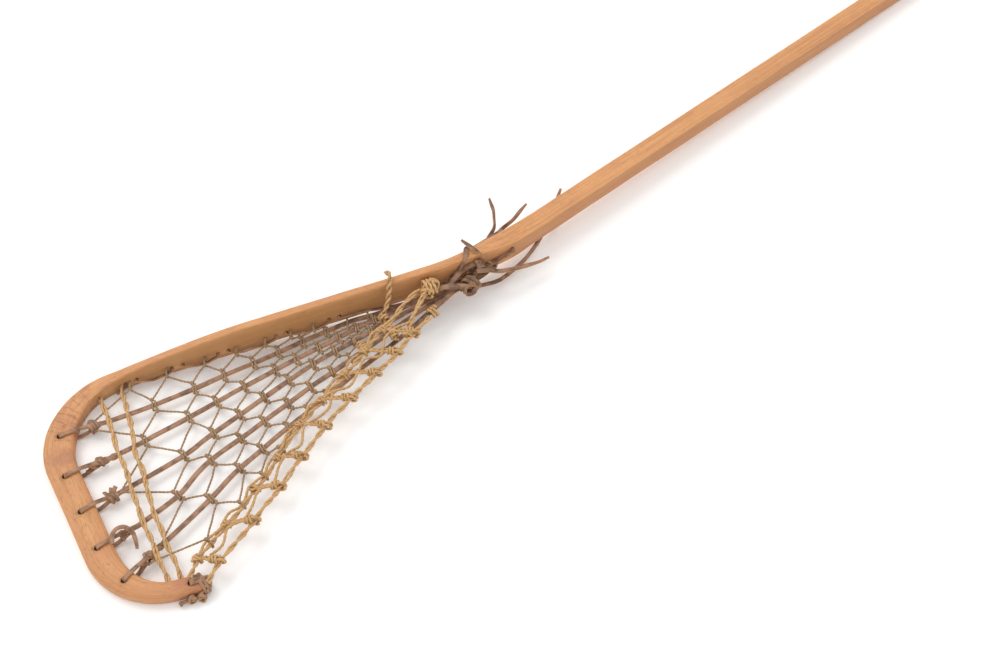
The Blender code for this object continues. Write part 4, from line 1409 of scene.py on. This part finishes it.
class STICK_OT_throat(StickOperator, bpy.types.Operator):
    """Make the gut knots, the leather band and the lashing at the throat"""
    bl_idname = "stick.throat"
    bl_label = "Throat"

    def execute(self, context):
        self.band(context)
        self.lashing(context)
        self.gut_pieces(context)
        return {"FINISHED"}

    def band(self, context):
        """The strap that climbs the rail's inner face and runs back along the shaft's outer top edge."""
        pts = []
        for s, face, z, off in (
                (687, 1, 18, 1.4), (681, 1, 24, 1.3), (672, 1, 33, 1.2), (664, 1, None, 1.0),
                (657, -1, None, 1.0),
                (650, -1, 38.2, 1.4), (642, -1, 37.2, 1.2), (632, -1, 36.4, 1.2), (621, -1, 35.8, 1.3),
                (610, -1, 34.2, 1.5)):
            wide, height, _, _, under = section(s)
            pts.append(at(s, face * (wide / 2 + off), under + height + 1.1 if z is None else z))
        band = strap("throat_band_strap", [(rounded(pts, 4.0, 1.0), 4.8, 1.7, 0.15, 41.0)],
                     self.leather(context, 0.35))
        stands_for(band, "leather", "throat_band")

    def lashing(self, context):
        """The wrapped knots that gather the thongs, and the straps that lead to them."""
        across, up = Vector((0, 1, 0)), Vector((0, 0, 1))
        runs = [
            (coil((115.5, 31.5, 28.0), (1, 0.2, 0), across, 8.6, 5.6, 2.1, 4.4, 20), 3.8, 0.0),
            (coil((121, 37, 30), (0.3, 1, 0.4), (1, 0, 0), 5.6, 4.6, 1.3, 3.2, 18, 1.0), 4.2, 0.2),
            (coil((99, 22, 33), (1, -0.3, 0.2), across, 5.4, 6.4, 1.9, 4.0, 18, 0.4), 4.0, 0.0),
            (coil((92, 24, 27), (1, 0.5, 0), across, 4.6, 4.4, 1.4, 3.6, 18, 2.0), 3.6, 0.2),
            (coil((84, 26, 24), (0.6, 1, 0.5), (1, 0, 0), 4.6, 3.6, 1.2, 2.6, 18, 0.6), 3.4, 0.2),
        ]
        leads = [
            [(150, 16, 30), (141, 20, 33), (131, 27, 34), (122, 34, 33)],
            [(132, 20, 29), (122, 18, 32), (112, 17, 34), (102, 20, 36), (94, 23, 33)],
            [(126, 28, 24), (115, 26, 23), (104, 27, 22), (92, 27, 22), (80, 25, 23), (70, 20, 22),
             (62, 12, 22)],
            [(118, 14, 27), (108, 11, 31), (96, 9, 33), (84, 9, 33), (76, 10, 32)],
            [(104, 18, 25), (92, 17, 26), (80, 16, 27), (68, 15, 25)],
        ]
        runs = [(even(points, 1.0), width, width * 0.42, roll, 51.0 + i)
                for i, (points, width, roll) in enumerate(runs)]
        runs += [(even(smooth_route(r, 2.0), 1.0), 5.0, 1.5, 0.25, 57.0 + i) for i, r in enumerate(leads)]
        stands_for(strap("throat_lashing_strap", runs, self.leather(context, 0.35)), "leather",
                   "throat_lashing")

    def gut_pieces(self, context):
        tree, gut = self.tree(), self.gut(context)
        tie = [(152, 13, 37), (160, 16.5, 35.5), (176, 24, 33), (192, 33, 30), (200, 38.5, 29)]
        runs = two_ply(smooth_route(tie, 2.0), 40.0, 1.2, 5.0)
        wrap = coil((198, 38, 29), (1, 0.6, 0), (0, 0, 1), 4.4, 4.4, 2.2, 2.8, 14)
        obj = laid_cord("gut_tie_cord", runs + [wrap], tree, gut, GUT_THIN, 2, 0.12, 12.0, 0.8, 12)
        stands_for(obj, "gut", "gut_tie")
        knot = coil((151, 12, 35), (-1, 0.35, 0), (0.2, 1, 0), 7.6, 5.4, 3.1, 3.6, 18)
        over = coil((149, 13, 36), (0.2, 1, 0.5), (1, 0, 0), 7.2, 5.6, 1.7, 3.4, 18)
        under = coil((156, 16, 34), (1, 0.8, 0), (0, 0, 1), 5.2, 5.6, 1.6, 3.2, 18, 1.0)
        obj = laid_cord("gut_knot_cord", [knot, over, under], tree, gut, GUT, 2, 0.14, 12.0, 0.8, 14)
        stands_for(obj, "gut", "gut_knot")
        post = waver(smooth_route(GUT_UPRIGHT, 2.0), 0.8, 14, 4.0)
        foot = [(201, 5, 27), (204, 14, 27), (206, 24, 27), (209, 36, 27)]
        runs = two_ply(post, 17.0, 1.7, 9.0)
        runs.append(coil((203.5, 9, 28), (0.2, 1, 0), (0, 0, 1), 4.2, 4.2, 2.0, 3.0, 14))
        runs.append(coil((207, 27, 28), (0.3, 1, 0), (0, 0, 1), 3.6, 3.6, 4.4, 2.9, 14))
        runs += two_ply(smooth_route(foot, 2.0), 22.0, 1.3, 12.0)
        obj = laid_cord("gut_upright_cord", runs, tree, gut, 2.7, 2, 0.12, 9.0, 0.7, 10)
        stands_for(obj, "gut", "gut_upright")


class STICK_OT_tip_lashing(StickOperator, bpy.types.Operator):
    """Make the lashing through the hole at the tip"""
    bl_idname = "stick.tip_lashing"
    bl_label = "Tip Lashing"

    def execute(self, context):
        hole = at(S_END - 11, 0, 0)
        end = at(S_END, 0, 0)
        line = (end - hole).normalized()
        side = Vector((-line.y, line.x, 0))
        up = Vector((0, 0, 1))
        top = SCOOP_HEIGHT + 1.6
        runs = []
        for shift, lift in ((-1.0, 0.0), (1.2, 0.5)):
            base = hole + side * shift
            loop = [base + up * 3, base + up * (top + lift), base + line * (12.6 + lift) + up * (top + lift),
                    base + line * (13 + lift) + up * 2.2]
            runs.append((rounded(loop, 3.0, 0.8), 2.9))
        runs.append((coil(end - line * 1.5 + up * 7.5, line + side * 0.3, side, 9.4, 7.8, 1.6, 3.4, 22,
                          0.5), 2.8))
        runs.append((coil(end + line * 2.6 + up * 7, side + line * 0.3, up, 5.2, 3.0, 2.1, 3.2, 16), 2.8))
        runs.append((coil(end + line * 1 - side * 6 + up * 9, side + line * 0.8, up, 4.0, 3.2, 1.6, 3.2,
                          16, 1.0), 2.8))
        edge = [at(S_END + reach, -TIP_WIDTH / 2 - 2.4 - bow, low) for reach, bow, low in
                ((2, -3.0, 8.0), (-2, 0.6, 5.5), (-6, 2.0, 6.5), (-9, 0.4, 4.5), (-12, 2.2, 6.0),
                 (-16, 0.6, 4.4),
                 (-20, 1.6, 5.6), (-24, 1.0, 4.0), (-22, 3.0, 3.0))]
        runs.append((smooth_route(edge, 1.5), 3.2))
        for reach, lean in ((-4, 0.7), (-13, -0.5)):
            spot = at(S_END + reach, -TIP_WIDTH / 2 - 3.2, 5.2)
            runs.append((coil(spot, side + line * lean, up, 3.8, 3.2, 1.7, 2.8, 18, reach), 2.8))
        runs = [(even(points, 0.9), width, width * 0.72, 0.0, 61.0 + i)
                for i, (points, width) in enumerate(runs)]
        stands_for(strap("tip_lashing_strap", runs, self.leather(context, 0.7)), "leather", "tip_lashing")
        return {"FINISHED"}


OPERATORS = (
    STICK_OT_stage, STICK_OT_loose_ends, STICK_OT_frame, STICK_OT_thongs, STICK_OT_hitches,
    STICK_OT_rail_lace,
    STICK_OT_net, STICK_OT_shooting_strings, STICK_OT_gut_wall, STICK_OT_throat, STICK_OT_tip_lashing,
)


class STICK_PT_panel(bpy.types.Panel):
    """The lacrosse stick's pieces and settings"""
    bl_idname = "STICK_PT_panel"
    bl_label = "Lacrosse Stick"
    bl_space_type = "VIEW_3D"
    bl_region_type = "UI"
    bl_category = "Lacrosse Stick"

    def draw(self, context):
        for operator in OPERATORS:
            self.layout.operator(operator.bl_idname)
        settings = context.scene.lacrosse_stick
        for group in (settings.stage, settings.wood, settings.leather, settings.cords):
            box = self.layout.box()
            for key in group.__annotations__:
                box.prop(group, key)


CLASSES = (StageSettings, WoodSettings, LeatherSettings, CordSettings, StickSettings, *OPERATORS,
           STICK_PT_panel)


def register():
    for cls in CLASSES:
        bpy.utils.register_class(cls)
    bpy.types.Scene.lacrosse_stick = PointerProperty(type=StickSettings)


def unregister():
    del bpy.types.Scene.lacrosse_stick
    for cls in reversed(CLASSES):
        bpy.utils.unregister_class(cls)


def clear_startup():
    """Removes the startup scene's cube, camera and lamp."""
    for obj in list(bpy.data.objects):
        if obj.name not in frame["nodes"] and not obj.name.startswith("body:"):
            bpy.data.objects.remove(obj, do_unlink=True)


def main():
    clear_startup()
    register()
    for operator in OPERATORS:
        group, call = operator.bl_idname.split(".")
        getattr(getattr(bpy.ops, group), call)()


if __name__ == "__main__":
    main()
